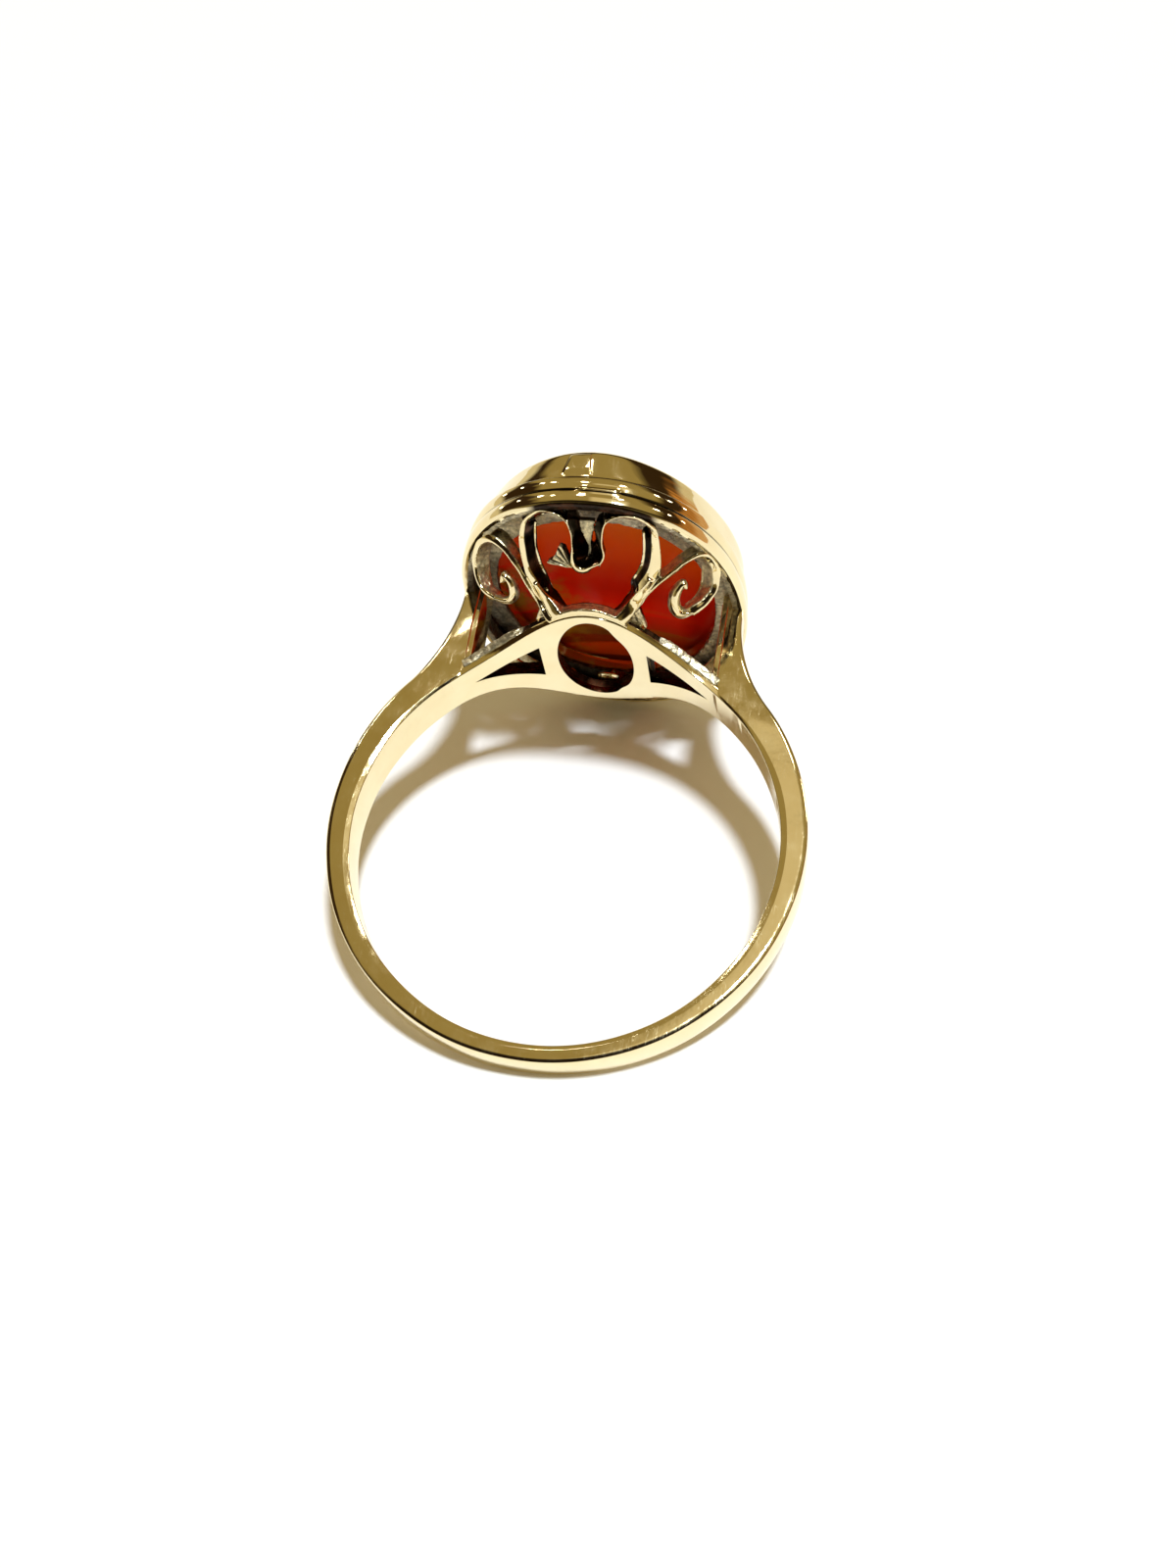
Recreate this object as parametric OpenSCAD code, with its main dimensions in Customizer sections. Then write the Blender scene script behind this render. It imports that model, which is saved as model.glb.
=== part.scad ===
// Cameo ring, lying on its side. Millimetres.
// It is modelled as worn: X across the finger, Y up through the stone, Z along the finger.
// The last step tips it over until it touches the floor with the hoop and the head.

/* [Finger hoop] */
// Inner diameter, the finger size
finger_bore = 17.5; // [14:0.1:22]
// Metal thickness at the bottom of the hoop
hoop_thickness = 0.75; // [0.5:0.05:2]
// Metal thickness where the hoop meets the shoulders
side_thickness = 1.08; // [0.7:0.05:2.4]
// Width of the hoop at the bottom
hoop_width = 1.55; // [1:0.05:4]
// Width of the hoop at the shoulders
shoulder_width = 2.15; // [1.2:0.05:4.5]

/* [Shoulder arms] */
// Thickness of each rising arm
arm_thickness = 0.95; // [0.5:0.05:1.6]
// Radius of the outer curve from the hoop into the arm
arm_curve = 7; // [3:0.25:12]

/* [Base plate] */
// Thickness of the pierced plate that follows the finger
plate_thickness = 0.65; // [0.5:0.05:1.2]
// Length of the plate along the finger, under the stone
plate_along = 6.8; // [5:0.1:9]
// How quickly the plate narrows towards the shoulders
plate_taper = 4; // [2.5:0.1:7]
// Hole under the stone, across the finger
hole_across = 3.35; // [2:0.05:4]
// Hole under the stone, along the finger
hole_along = 5.8; // [3:0.1:6.2]
// Metal between that hole and each side window
bridge_width = 0.72; // [0.4:0.02:1.2]
// Length of each side window across the finger
window_length = 2.75; // [1.5:0.05:3]
// Height of each side window at its wide end
window_width = 2.2; // [1:0.05:2.4]

/* [Scroll gallery] */
// Rise from the base plate to the lower rail
gallery_height = 1.75; // [1:0.05:3]
// Width of a scroll strand
scroll_width = 0.58; // [0.4:0.02:0.9]
// Depth of a scroll strand
scroll_depth = 0.8; // [0.5:0.05:1.2]

/* [Rails] */
// Outer size of the rails across the finger
rail_across = 12.4; // [11:0.1:15]
// Outer size of the rails along the finger
rail_along = 16.2; // [13:0.1:20]
// Height of each of the two rails
rail_height = 0.68; // [0.5:0.02:1.2]
// Depth of the groove between the rails
groove_depth = 0.16; // [0.05:0.01:0.3]
// Thickness of the lower rail
rail_wall = 0.55; // [0.4:0.05:1]
// Opening in the ledge under the cameo, across the finger
opening_across = 9.5; // [7:0.1:10.5]
// Opening in the ledge under the cameo, along the finger
opening_along = 11.6; // [9:0.1:14]

/* [Bezel] */
// Outer size of the bezel rim across the finger
bezel_across = 11.4; // [9:0.05:14]
// Outer size of the bezel rim along the finger
bezel_along = 15.25; // [11:0.05:19]
// Height of the bezel above the rails
bezel_height = 1.6; // [0.8:0.05:2.5]
// Metal thickness of the bezel
bezel_wall = 0.34; // [0.2:0.02:0.6]
// Width of the edge that is turned in over the cameo
lip_width = 0.32; // [0.1:0.02:0.6]

/* [Cameo] */
// Space between the cameo and its setting
cameo_gap = 0.06; // [0.03:0.01:0.15]
// Rise of the rounded ground above the bezel rim
cameo_crown = 1.0; // [0.2:0.05:2]
// Height of the carved figure above the ground
relief_height = 0.95; // [0.3:0.05:1.5]
// Height of the carved head, from chin to crown
head_height = 5.5; // [3.5:0.1:6]
// Depth of the hollow in the back
back_hollow = 0.7; // [0.1:0.05:1.2]

/* [Hidden] */
$fn = 96;

// Hoop: its outer circle is set off towards the head, so the metal thickens evenly.
bore_radius = finger_bore / 2;
bottom_radius = bore_radius + hoop_thickness;
side_radius = bore_radius + side_thickness;
outer_radius = (bottom_radius + side_radius * side_radius / bottom_radius) / 2;
outer_offset = outer_radius - bottom_radius;
plate_radius = bore_radius + plate_thickness;
rough_radius = bore_radius - hoop_thickness / 2;

// Heights above the finger axis, and the arms that end in the rails.
rail_foot = plate_radius + gallery_height;
groove_level = rail_foot + rail_height;
rail_top = rail_foot + 2 * rail_height;
rim_level = rail_top + bezel_height;
soft_edge = rail_height * 0.22;
arm_outer = rail_across / 2 - soft_edge / 2;
arm_inner = arm_outer - arm_thickness;
arm_sweep = outer_radius + arm_curve - hoop_thickness / 15;
arm_turn = asin((arm_outer + arm_curve) / arm_sweep);
arm_bend = outer_offset + arm_sweep * cos(arm_turn);
hoop_top = outer_offset + outer_radius * cos(arm_turn);
arm_top = groove_level;

// The base plate runs on into the hoop below the arms, a little inside its side faces.
plate_reach = sqrt(plate_radius * plate_radius - hoop_top * hoop_top) + plate_thickness / 2;
plate_end = shoulder_width * 0.48;

// Rest: the hoop's lower edge and the lower rail's end touch the floor.
rest_tilt = atan((rail_along / 2 - hoop_width / 2) / (rail_foot + soft_edge + bottom_radius));
rest_lift = bottom_radius * sin(rest_tilt) + hoop_width / 2 * cos(rest_tilt);
front_reach = bottom_radius * cos(rest_tilt) + hoop_width / 2 * sin(rest_tilt);
back_reach = rim_level * cos(rest_tilt) + (bezel_along - bezel_wall) / 2 * sin(rest_tilt);
rest_shift = (front_reach - back_reach) / 2;

// The oval of the head is a little fuller than an ellipse.
fullness = 2.2;
oval_steps = 60;

// Scroll tables. Columns: turn round the head from its end, and share of the way up the flare.
loop_rows = [
  [25, -0.05], [28, 0.18], [31, 0.42], [31, 0.65], [27.5, 0.85], [20.5, 0.98],
  [12.9, 1], [7.6, 0.93], [5.4, 0.76], [5.8, 0.58], [3.6, 0.46], [0, 0.43]
];
hook_rows = [
  [27.5, 0.02], [32, 0.3], [37.7, 0.6], [43.5, 0.84], [50.5, 1], [58, 1],
  [62.5, 0.88], [61, 0.7], [55.5, 0.51], [49.5, 0.39], [44.3, 0.4], [44.3, 0.54]
];
bud_rows = [[4, 0.46], [8.5, 0.4], [15, 0.4], [18.2, 0.49], [16.6, 0.6], [12.5, 0.63]];

// Outline of the carved bust, in profile. Columns: forward and up, in heads from the chin.
bust_rows = [
  [-0.02, 0.9], [0.02, 0.76], [0.025, 0.67], [0, 0.6], [0.045, 0.5], [0.11, 0.395], [0.095, 0.36],
  [0.03, 0.335], [0.052, 0.285], [0.03, 0.252], [0.046, 0.215], [0.01, 0.165], [0.032, 0.09],
  [-0.01, 0.01], [-0.16, -0.02], [-0.25, -0.08], [-0.27, -0.22], [-0.2, -0.34], [0, -0.48],
  [0.1, -0.6], [0.02, -0.74], [-0.25, -0.83], [-0.58, -0.78], [-0.84, -0.62], [-0.8, -0.46],
  [-0.68, -0.34], [-0.62, -0.15], [-0.66, 0.04], [-0.78, 0.06], [-0.94, 0.16], [-0.98, 0.33],
  [-0.9, 0.5], [-0.87, 0.7], [-0.76, 0.9], [-0.56, 1.04], [-0.32, 1.09], [-0.12, 1.02]
];

// Outline of the hair, in the same columns.
hair_rows = [
  [-0.02, 0.9], [-0.1, 0.74], [-0.2, 0.62], [-0.34, 0.56], [-0.42, 0.42], [-0.44, 0.24],
  [-0.58, 0.1], [-0.66, 0.04], [-0.78, 0.06], [-0.94, 0.16], [-0.98, 0.33], [-0.9, 0.5],
  [-0.87, 0.7], [-0.76, 0.9], [-0.56, 1.04], [-0.32, 1.09], [-0.12, 1.02]
];
bun_place = [-0.76, 0.3];

// The chin's place on the ground, so that the bust sits in the middle.
figure_place = [head_height * 0.42, -head_height * 0.1];

// A point on an oval, in X and Z, from the end of the head round towards plus X.
function bulge(v) = sign(v) * pow(abs(v), 2 / fullness);
function oval_point(turn, across, along) =
  [across / 2 * bulge(sin(turn)), along / 2 * bulge(cos(turn))];

// Half length of the base plate along the finger at a distance across it.
function plate_half(x) =
  plate_end
  + (plate_along / 2 - plate_end) * pow(max(0, 1 - pow(x / plate_reach, 2)), plate_taper);

// The flare of the gallery: from the edge of the base plate out to the lower rail.
function flare_foot(turn) =
  let (x = arm_inner * sign(turn) * pow(abs(sin(turn)), 1.5))
  [x, sqrt(plate_radius * plate_radius - x * x) - plate_thickness / 3, plate_half(x)];
function flare_head(turn) =
  let (p = oval_point(turn, rail_across - rail_wall, rail_along - rail_wall))
  [p[0], rail_foot, p[1]];
function flare(turn, share) =
  flare_foot(turn) + (flare_head(turn) - flare_foot(turn)) * share;
function unit(v) = v / norm(v);
function flare_out(turn, share) =
  unit(cross(
    flare(turn + 1, share) - flare(turn - 1, share),
    flare(turn, share + 0.05) - flare(turn, share - 0.05)
  ));

// A smooth curve through the rows of a table.
function row_at(rows, i) = rows[min(max(i, 0), len(rows) - 1)];
function blend(a, b, c, d, t) =
  (2 * b + (c - a) * t + (2 * a - 5 * b + 4 * c - d) * t * t
  + (3 * b - a - 3 * c + d) * t * t * t) / 2;
function smooth_rows(rows, cuts) = [
  for (i = [0:len(rows) - 2], k = [0:cuts - 1])
    blend(row_at(rows, i - 1), rows[i], rows[i + 1], row_at(rows, i + 2), k / cuts),
  rows[len(rows) - 1]
];

// One scroll strand with softened front edges, along a table of turns and shares.
// Strands that cross are sunk by different amounts, so that their faces don't coincide.
module strand(rows, width, depth, sunk = 0, cuts = 2) {
  path = smooth_rows(rows, cuts);
  spots = [for (r = path) flare(r[0], r[1])];
  outs = [for (r = path) flare_out(r[0], r[1])];
  last = len(path) - 1;
  section = [[-0.5, -1], [0.5, -1], [0.4, 0], [-0.4, 0]];
  sides = len(section);
  points = [
    for (i = [0:last])
      let (
        ahead = unit(spots[min(i + 1, last)] - spots[max(i - 1, 0)]),
        side = unit(cross(outs[i], ahead))
      )
      for (s = section)
        spots[i] + side * s[0] * width + outs[i] * (s[1] * depth - sunk)
  ];
  walls = [
    for (i = [0:last - 1], k = [0:sides - 1])
      [i * sides + k, (i + 1) * sides + k,
       (i + 1) * sides + (k + 1) % sides, i * sides + (k + 1) % sides]
  ];
  ends = [
    [for (k = [0:sides - 1]) k],
    [for (k = [sides - 1:-1:0]) last * sides + k]
  ];
  polyhedron(points, concat(walls, ends), convexity = 10);
}

// A closed ring through ovals. Columns of rows: size across, size along, height.
module oval_ring(rows) {
  sides = len(rows);
  points = [
    for (i = [0:oval_steps - 1], r = rows)
      let (p = oval_point(i * 360 / oval_steps, r[0], r[1]))
      [p[0], r[2], p[1]]
  ];
  walls = [
    for (i = [0:oval_steps - 1], k = [0:sides - 1])
      let (j = (i + 1) % oval_steps)
      [i * sides + k, i * sides + (k + 1) % sides, j * sides + (k + 1) % sides, j * sides + k]
  ];
  polyhedron(points, walls, convexity = 10);
}

// The two rails, the ledge under the cameo and the bezel, as one turned section.
module rails_and_bezel() {
  ra = rail_across;
  rl = rail_along;
  ba = bezel_across;
  bl = bezel_along;
  e = soft_edge;
  g = groove_depth;
  foot = bezel_wall * 0.6;
  rows = [
    [ra - 2 * e, rl - 2 * e, rail_foot],
    [ra, rl, rail_foot + e],
    [ra, rl, groove_level - e],
    [ra - 2 * g, rl - 2 * g, groove_level],
    [ra - e, rl - e, groove_level + e],
    [ra - e, rl - e, rail_top - e],
    [ra - 3 * e, rl - 3 * e, rail_top],
    [ba + foot, bl + foot, rail_top + e],
    [ba, bl, rim_level - bezel_wall * 0.5],
    [ba - bezel_wall, bl - bezel_wall, rim_level],
    [ba - 2 * bezel_wall - 2 * lip_width, bl - 2 * bezel_wall - 2 * lip_width, rim_level],
    [ba - 2 * bezel_wall, bl - 2 * bezel_wall, rim_level - bezel_wall - lip_width],
    [ba - 2 * bezel_wall, bl - 2 * bezel_wall, rail_top],
    [opening_across, opening_along, rail_top],
    [opening_across, opening_along, groove_level],
    [ra - 2 * rail_wall, rl - 2 * rail_wall, groove_level],
    [ra - 2 * rail_wall, rl - 2 * rail_wall, rail_foot]
  ];
  oval_ring(rows);
}

// Scrolls at one end of the head: two tall loops, a hook on each side, and their curled buds.
module scroll_end() {
  last = len(loop_rows) - 1;
  strand(
    concat([for (r = loop_rows) [-r[0], r[1]]], [for (i = [last - 1:-1:0]) loop_rows[i]]),
    scroll_width, scroll_depth
  );
  for (way = [-1, 1])
    strand([for (r = hook_rows) [way * r[0], r[1]]], scroll_width, scroll_depth, scroll_depth * 0.1);
  strand([for (r = bud_rows) [-r[0], r[1]]], scroll_width * 0.8, scroll_depth, -scroll_depth * 0.08);
  strand([[-29, 0.02], [-15, -0.04], [0, -0.03], [15, -0.04], [29, 0.02]],
    scroll_width, scroll_depth * 0.5, scroll_depth * 0.2);
}

// All metal of the head, drawn to the outer size of the rails.
module head_metal() {
  rails_and_bezel();
  scroll_end();
  mirror([0, 0, 1])
    scroll_end();
}

// Hoop with both rising arms, seen along the finger.
module hoop_profile() {
  difference() {
    union() {
      intersection() {
        translate([0, outer_offset])
          circle(outer_radius);
        translate([-2 * outer_radius, hoop_top + side_thickness / 2 - 4 * outer_radius])
          square([4 * outer_radius, 4 * outer_radius]);
      }
      for (way = [-1, 1])
        arm_profile(way);
    }
    circle(rough_radius);
  }
}

// One arm: upright inside, and curved outside from the hoop to the rail.
module arm_profile(way) {
  touch = [outer_radius * sin(arm_turn), hoop_top];
  difference() {
    polygon([
      [way * arm_inner, sqrt(plate_radius * plate_radius - arm_inner * arm_inner) - plate_thickness],
      [way * arm_inner, arm_top],
      [way * arm_outer, arm_top],
      [way * touch[0], arm_bend],
      [way * touch[0], touch[1] - hoop_thickness]
    ]);
    translate([way * (arm_outer + arm_curve), arm_bend])
      circle(arm_curve);
    translate([way * (arm_outer + arm_curve), arm_bend + arm_curve])
      square(2 * arm_curve, center = true);
  }
}

// The hoop is widest at the shoulders and narrows to the bottom.
module hoop_and_arms() {
  reach = side_radius + arm_top;
  intersection() {
    linear_extrude(2 * plate_along, center = true)
      hoop_profile();
    rotate([0, -90, 0])
      linear_extrude(2 * reach, center = true)
        polygon([
          [-hoop_width / 2, -bottom_radius - 1],
          [hoop_width / 2, -bottom_radius - 1],
          [hoop_width / 2, -bottom_radius],
          [shoulder_width / 2, hoop_top * 0.9],
          [shoulder_width / 2, arm_top + 1],
          [-shoulder_width / 2, arm_top + 1],
          [-shoulder_width / 2, hoop_top * 0.9],
          [-hoop_width / 2, -bottom_radius]
        ]);
  }
}

// The outline of the base plate in X and Z, and its holes.
module plate_outline() {
  steps = 36;
  xs = [for (i = [0:steps]) plate_reach * (2 * i / steps - 1)];
  polygon(concat(
    [for (x = xs) [x, plate_half(x)]],
    [for (i = [steps:-1:0]) [xs[i], -plate_half(xs[i])]]
  ));
}

module plate_holes() {
  polygon([for (i = [0:35]) [hole_across / 2 * sin(i * 10), hole_along / 2 * cos(i * 10)]]);
  near = hole_across / 2 + bridge_width;
  for (way = [-1, 1])
    polygon(concat(
      [for (t = [0:0.2:1]) [way * (near + window_length * t), window_width / 2 * pow(1 - t, 1.25)]],
      [for (t = [0.8:-0.2:0]) [way * (near + window_length * t), -window_width / 2 * pow(1 - t, 1.25)]]
    ));
}

module base_plate() {
  intersection() {
    difference() {
      cylinder(h = 2 * plate_along, r = plate_radius, center = true);
      cylinder(h = 3 * plate_along, r = rough_radius - 0.2, center = true);
    }
    rotate([-90, 0, 0])
      linear_extrude(2 * plate_radius)
        difference() {
          plate_outline();
          plate_holes();
        }
  }
}

// The soldered gold mounting, with the finger bore cut last.
module ring_mount() {
  color([0.85, 0.72, 0.45])
    lay_down()
      difference() {
        union() {
          hoop_and_arms();
          base_plate();
          head_metal();
        }
        cylinder(h = 4 * plate_along, r = bore_radius, center = true);
      }
}

// Distance from a point to the nearest side of an outline, and whether it lies inside.
function side_gap(p, a, b) =
  let (t = min(max((p - a) * (b - a) / ((b - a) * (b - a)), 0), 1))
  norm(p - a - (b - a) * t);
function outline_gap(p, rows) =
  min([for (i = [0:len(rows) - 1]) side_gap(p, rows[i], rows[(i + 1) % len(rows)])]);
function is_inside(p, rows) =
  len([
    for (i = [0:len(rows) - 1])
      let (a = rows[i], b = rows[(i + 1) % len(rows)])
      if ((a[1] > p[1]) != (b[1] > p[1])
        && p[0] < a[0] + (b[0] - a[0]) * (p[1] - a[1]) / (b[1] - a[1])) 1
  ]) % 2 == 1;
function signed_gap(p, rows) = (is_inside(p, rows) ? 1 : -1) * outline_gap(p, rows);
function swell(gap) = gap <= 0 ? 0 : sqrt(1 - pow(1 - min(gap, 1), 2));
function rise(gap, reach) = let (t = min(max(gap / reach + 0.5, 0), 1)) t * t * (3 - 2 * t);

// Height of the carving at a point of the ground, as a share of its full height.
function carving(x, z) =
  let (
    p = [(x - figure_place[0]) / head_height, (z - figure_place[1]) / head_height],
    inside = signed_gap(p, bust_rows),
    body = rise(inside, 0.07) * (0.55 + 0.45 * swell(inside / 0.22)),
    face = rise(p[1] + 0.28 * p[0], 0.1) * body,
    hair = rise(signed_gap(p, hair_rows), 0.07),
    bun = rise(0.15 - norm(p - bun_place), 0.12),
    strands = 0.04 * sin(norm(p - [-0.2, 0.5]) * 2600) * hair,
    folds = p[1] < -0.42 ? 0.05 * sin(norm(p - [-0.2, 0.9]) * 2300) * body : 0
  )
  body * 0.52 + face * 0.14 + hair * 0.18 + bun * 0.12 + strands + folds;

function spread(t) = t * (0.62 + 0.38 * t * t);

// The cameo: an oval of shell with a hollow back, held under the turned edge.
// Its front is a grid of points that follows the oval, closer together under the carving.
module cameo_body() {
  across = bezel_across - 2 * bezel_wall - 2 * cameo_gap;
  along = bezel_along - 2 * bezel_wall - 2 * cameo_gap;
  foot = rail_top + cameo_gap;
  shoulder = rim_level - bezel_wall - lip_width - 2 * cameo_gap;
  in_by = 2 * (lip_width + 2 * cameo_gap);
  n = 46;
  grid = [
    for (i = [0:n], j = [0:n])
      let (
        a = spread(2 * i / n - 1),
        b = spread(2 * j / n - 1),
        u = a * sqrt(1 - b * b / 2),
        v = b * sqrt(1 - a * a / 2),
        far = min(norm([u, v]), 1),
        q = oval_point(far == 0 ? 0 : atan2(u, v), across - in_by, along - in_by) * far
      )
      [q[0], rim_level + cameo_crown * (1 - far * far) + relief_height * carving(q[0], q[1]), q[1]]
  ];
  edge = concat(
    [for (j = [0:n - 1]) j],
    [for (i = [0:n - 1]) i * (n + 1) + n],
    [for (j = [n:-1:1]) n * (n + 1) + j],
    [for (i = [n:-1:1]) i * (n + 1)]
  );
  turns = [for (e = edge) atan2(grid[e][0] / across, grid[e][2] / along)];
  rounds = [
    [1, shoulder], [1, foot], [0.8, foot + back_hollow * 0.36], [0.4, foot + back_hollow * 0.84]
  ];
  m = len(edge);
  first = len(grid);
  points = concat(
    grid,
    [for (r = rounds, e = edge)
      let (
        p = [grid[e][0] / (across - in_by), grid[e][2] / (along - in_by)],
        q = [p[0] * across, p[1] * along] * r[0]
      )
      [q[0], r[1], q[1]]],
    [[0, foot + back_hollow, 0]]
  );
  front = [
    for (i = [0:n - 1], j = [0:n - 1])
      let (k = i * (n + 1) + j) each [[k, k + n + 1, k + n + 2], [k, k + n + 2, k + 1]]
  ];
  rim = [for (k = [0:m - 1]) [edge[k], edge[(k + 1) % m], first + (k + 1) % m, first + k]];
  walls = [
    for (r = [0:len(rounds) - 2], k = [0:m - 1])
      let (here = first + r * m, next = here + m)
      [here + k, here + (k + 1) % m, next + (k + 1) % m, next + k]
  ];
  base = first + (len(rounds) - 1) * m;
  back = [for (k = [0:m - 1]) [base + k, base + (k + 1) % m, base + m]];
  polyhedron(points, concat(front, rim, walls, back), convexity = 6);
}

module cameo() {
  color([0.72, 0.3, 0.12])
    lay_down()
      cameo_body();
}

// Tip the ring over to its rest and set it on the floor, centred.
module lay_down() {
  translate([0, rest_shift, rest_lift])
    rotate([rest_tilt, 0, 0])
      children();
}

ring_mount();
cameo();
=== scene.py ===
"""Cameo ring lying on its side: gold mounting with a scroll gallery, and a carved shell cameo."""

import math

import bmesh
import bpy
import numpy as np
from mathutils import Matrix, Vector, kdtree


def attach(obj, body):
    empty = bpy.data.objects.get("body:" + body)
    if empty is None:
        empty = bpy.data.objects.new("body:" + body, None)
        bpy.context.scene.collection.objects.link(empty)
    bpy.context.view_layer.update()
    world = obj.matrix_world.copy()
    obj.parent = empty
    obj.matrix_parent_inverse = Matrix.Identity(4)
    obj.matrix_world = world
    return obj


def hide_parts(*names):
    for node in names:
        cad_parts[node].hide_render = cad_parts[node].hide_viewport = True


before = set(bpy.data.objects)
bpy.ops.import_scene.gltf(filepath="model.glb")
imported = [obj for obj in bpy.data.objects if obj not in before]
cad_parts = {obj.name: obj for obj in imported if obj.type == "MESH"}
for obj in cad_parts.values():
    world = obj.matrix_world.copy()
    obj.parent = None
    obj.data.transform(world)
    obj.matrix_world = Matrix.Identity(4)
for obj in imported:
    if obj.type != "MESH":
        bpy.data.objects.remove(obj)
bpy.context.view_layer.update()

# sizes, millimetres, as in the CAD model

# the hoop: radii from the finger's axis, widths along it, and the arms
BORE = 8.75
BOTTOM = BORE + 0.75
SIDE = BORE + 1.08
HOOP_WIDTH = 1.55
SHOULDER_WIDTH = 2.15
ARM = 0.95
ARM_CURVE = 7.0
# the pierced base plate: thickness, outer radius, length along the finger, holes and the metal between
PLATE_THICK = 0.65
PLATE_R = BORE + PLATE_THICK
PLATE_ALONG = 6.8
PLATE_TAPER = 4
HOLE = (3.35, 5.8)
BRIDGE = 0.72
WINDOW = (2.75, 2.2)
# the rails, the ledge and the bezel: A is across the finger and L along it
RAIL_A, RAIL_L = 12.4, 16.2
RAIL_H = 0.68
GROOVE = 0.16
RAIL_WALL = 0.55
OPEN_A, OPEN_L = 9.5, 11.6
BEZEL_A, BEZEL_L = 11.4, 15.25
BEZEL_H = 1.6
BEZEL_WALL = 0.34
LIP = 0.32
# the cameo, and how full the head's oval is, 2 being an ellipse
GAP = 0.06
CROWN = 1.0
RELIEF = 0.95
HEAD = 5.5
HOLLOW = 0.7
FULLNESS = 2.2

# worked out from these: the hoop's outer circle, heights above the finger, arms and plate
OUTER_R = (BOTTOM + SIDE * SIDE / BOTTOM) / 2
OUTER_OFF = OUTER_R - BOTTOM
FOOT = PLATE_R + 1.75
GROOVE_Y = FOOT + RAIL_H
RAIL_TOP = FOOT + 2 * RAIL_H
RIM = RAIL_TOP + BEZEL_H
EDGE = RAIL_H * 0.22
ARM_OUT = RAIL_A / 2 - EDGE / 2
ARM_IN = ARM_OUT - ARM
ARM_TURN = math.asin((ARM_OUT + ARM_CURVE) / (OUTER_R + ARM_CURVE))
ARM_BEND = OUTER_OFF + (OUTER_R + ARM_CURVE) * math.cos(ARM_TURN)
HOOP_TOP = OUTER_OFF + OUTER_R * math.cos(ARM_TURN)
PLATE_REACH = math.sqrt(PLATE_R**2 - HOOP_TOP**2) + 0.325
PLATE_END = SHOULDER_WIDTH * 0.48
# how the ring tips over to rest on the hoop's edge and the rail's end
TILT = math.atan((RAIL_L / 2 - HOOP_WIDTH / 2) / (FOOT + EDGE + BOTTOM))
LIFT = BOTTOM * math.sin(TILT) + HOOP_WIDTH / 2 * math.cos(TILT)
FRONT = BOTTOM * math.cos(TILT) + HOOP_WIDTH / 2 * math.sin(TILT)
BACK = RIM * math.cos(TILT) + (BEZEL_L - BEZEL_WALL) / 2 * math.sin(TILT)
SHIFT = (FRONT - BACK) / 2


def laid(points):
    """Ring coordinates in millimetres to the shared frame in metres, with the ring at rest.

    Ring coordinates have X across the finger, Y up through the stone and Z along the finger.
    """
    p = np.asarray(points, float).reshape(-1, 3)
    c, s = math.cos(TILT), math.sin(TILT)
    return np.c_[p[:, 0], p[:, 1] * c - p[:, 2] * s + SHIFT, p[:, 1] * s + p[:, 2] * c + LIFT] / 1000


def wobble(points, size, seed):
    """A smooth field of hand-made unevenness, -1 to 1, whose lumps are about size millimetres across."""
    r = np.random.default_rng(seed)
    p = np.asarray(points, float)
    total = np.zeros(p.shape[:-1])
    for _ in range(7):
        way = r.normal(size=3)
        way *= 2 * math.pi / size / np.linalg.norm(way) * r.uniform(0.5, 1.3)
        total += np.sin(p @ way + r.uniform(0, 6.28))
    return total / 4


def lumps(v, sizes, seed):
    """Unevenness in all three directions."""
    return np.stack([wobble(v, size, seed + k) for k, size in enumerate(sizes)], -1)


def unit(v):
    return v / np.linalg.norm(v, axis=-1)[..., None]


def hump(x):
    """1 in the middle, down to almost nothing two steps away."""
    return np.exp(-(x**2))


def smoothstep(x, a, b):
    """0 where x is a, 1 where it is b."""
    t = np.clip((np.asarray(x, float) - a) / (b - a), 0, 1)
    return t * t * (3 - 2 * t)


def fade(x, a, b):
    """1 where x is a, 0 where it is b."""
    return 1 - smoothstep(x, a, b)


def bulge(v, full=FULLNESS):
    return np.sign(v) * np.abs(v) ** (2 / full)


def oval(turn, across, along, full=FULLNESS):
    return across / 2 * bulge(np.sin(turn), full), along / 2 * bulge(np.cos(turn), full)


def slimness(y):
    """The head's outline is a fuller oval at the rails than at the bezel's rim."""
    return FULLNESS - 0.33 * smoothstep(y, RAIL_TOP, RIM)


def finer(rows, most):
    """Adds rows to a closed profile until its steps are short."""
    out = []
    rows = np.asarray(rows, float)
    for a, b in zip(rows, np.roll(rows, -1, 0)):
        n = max(1, int(np.ceil(np.linalg.norm(b[1:3] - a[1:3]) / most)))
        out += [a + (b - a) * k / n for k in range(n)]
    return np.array(out)


def plate_half(x):
    """Half the base plate's length along the finger, at a distance across it."""
    taper = np.maximum(0, 1 - (x / PLATE_REACH) ** 2) ** PLATE_TAPER
    return PLATE_END + (PLATE_ALONG / 2 - PLATE_END) * taper


def curve_through(rows, cuts, closed=False):
    """A smooth curve through the rows of a table."""
    r = np.asarray(rows, float)
    n = len(r)
    out = []
    for i in range(n if closed else n - 1):
        if closed:
            a, b, c, d = r[(i - 1) % n], r[i], r[(i + 1) % n], r[(i + 2) % n]
        else:
            a, b, c, d = r[max(i - 1, 0)], r[i], r[i + 1], r[min(i + 2, n - 1)]
        for k in range(cuts):
            t = k / cuts
            square = 2 * a - 5 * b + 4 * c - d
            cube = 3 * b - a - 3 * c + d
            out.append((2 * b + (c - a) * t + square * t * t + cube * t**3) / 2)
    if not closed:
        out.append(r[-1])
    return np.array(out)


# meshes
def place(name, data):
    ob = bpy.data.objects.new(name, data)
    bpy.context.scene.collection.objects.link(ob)
    return ob


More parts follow.
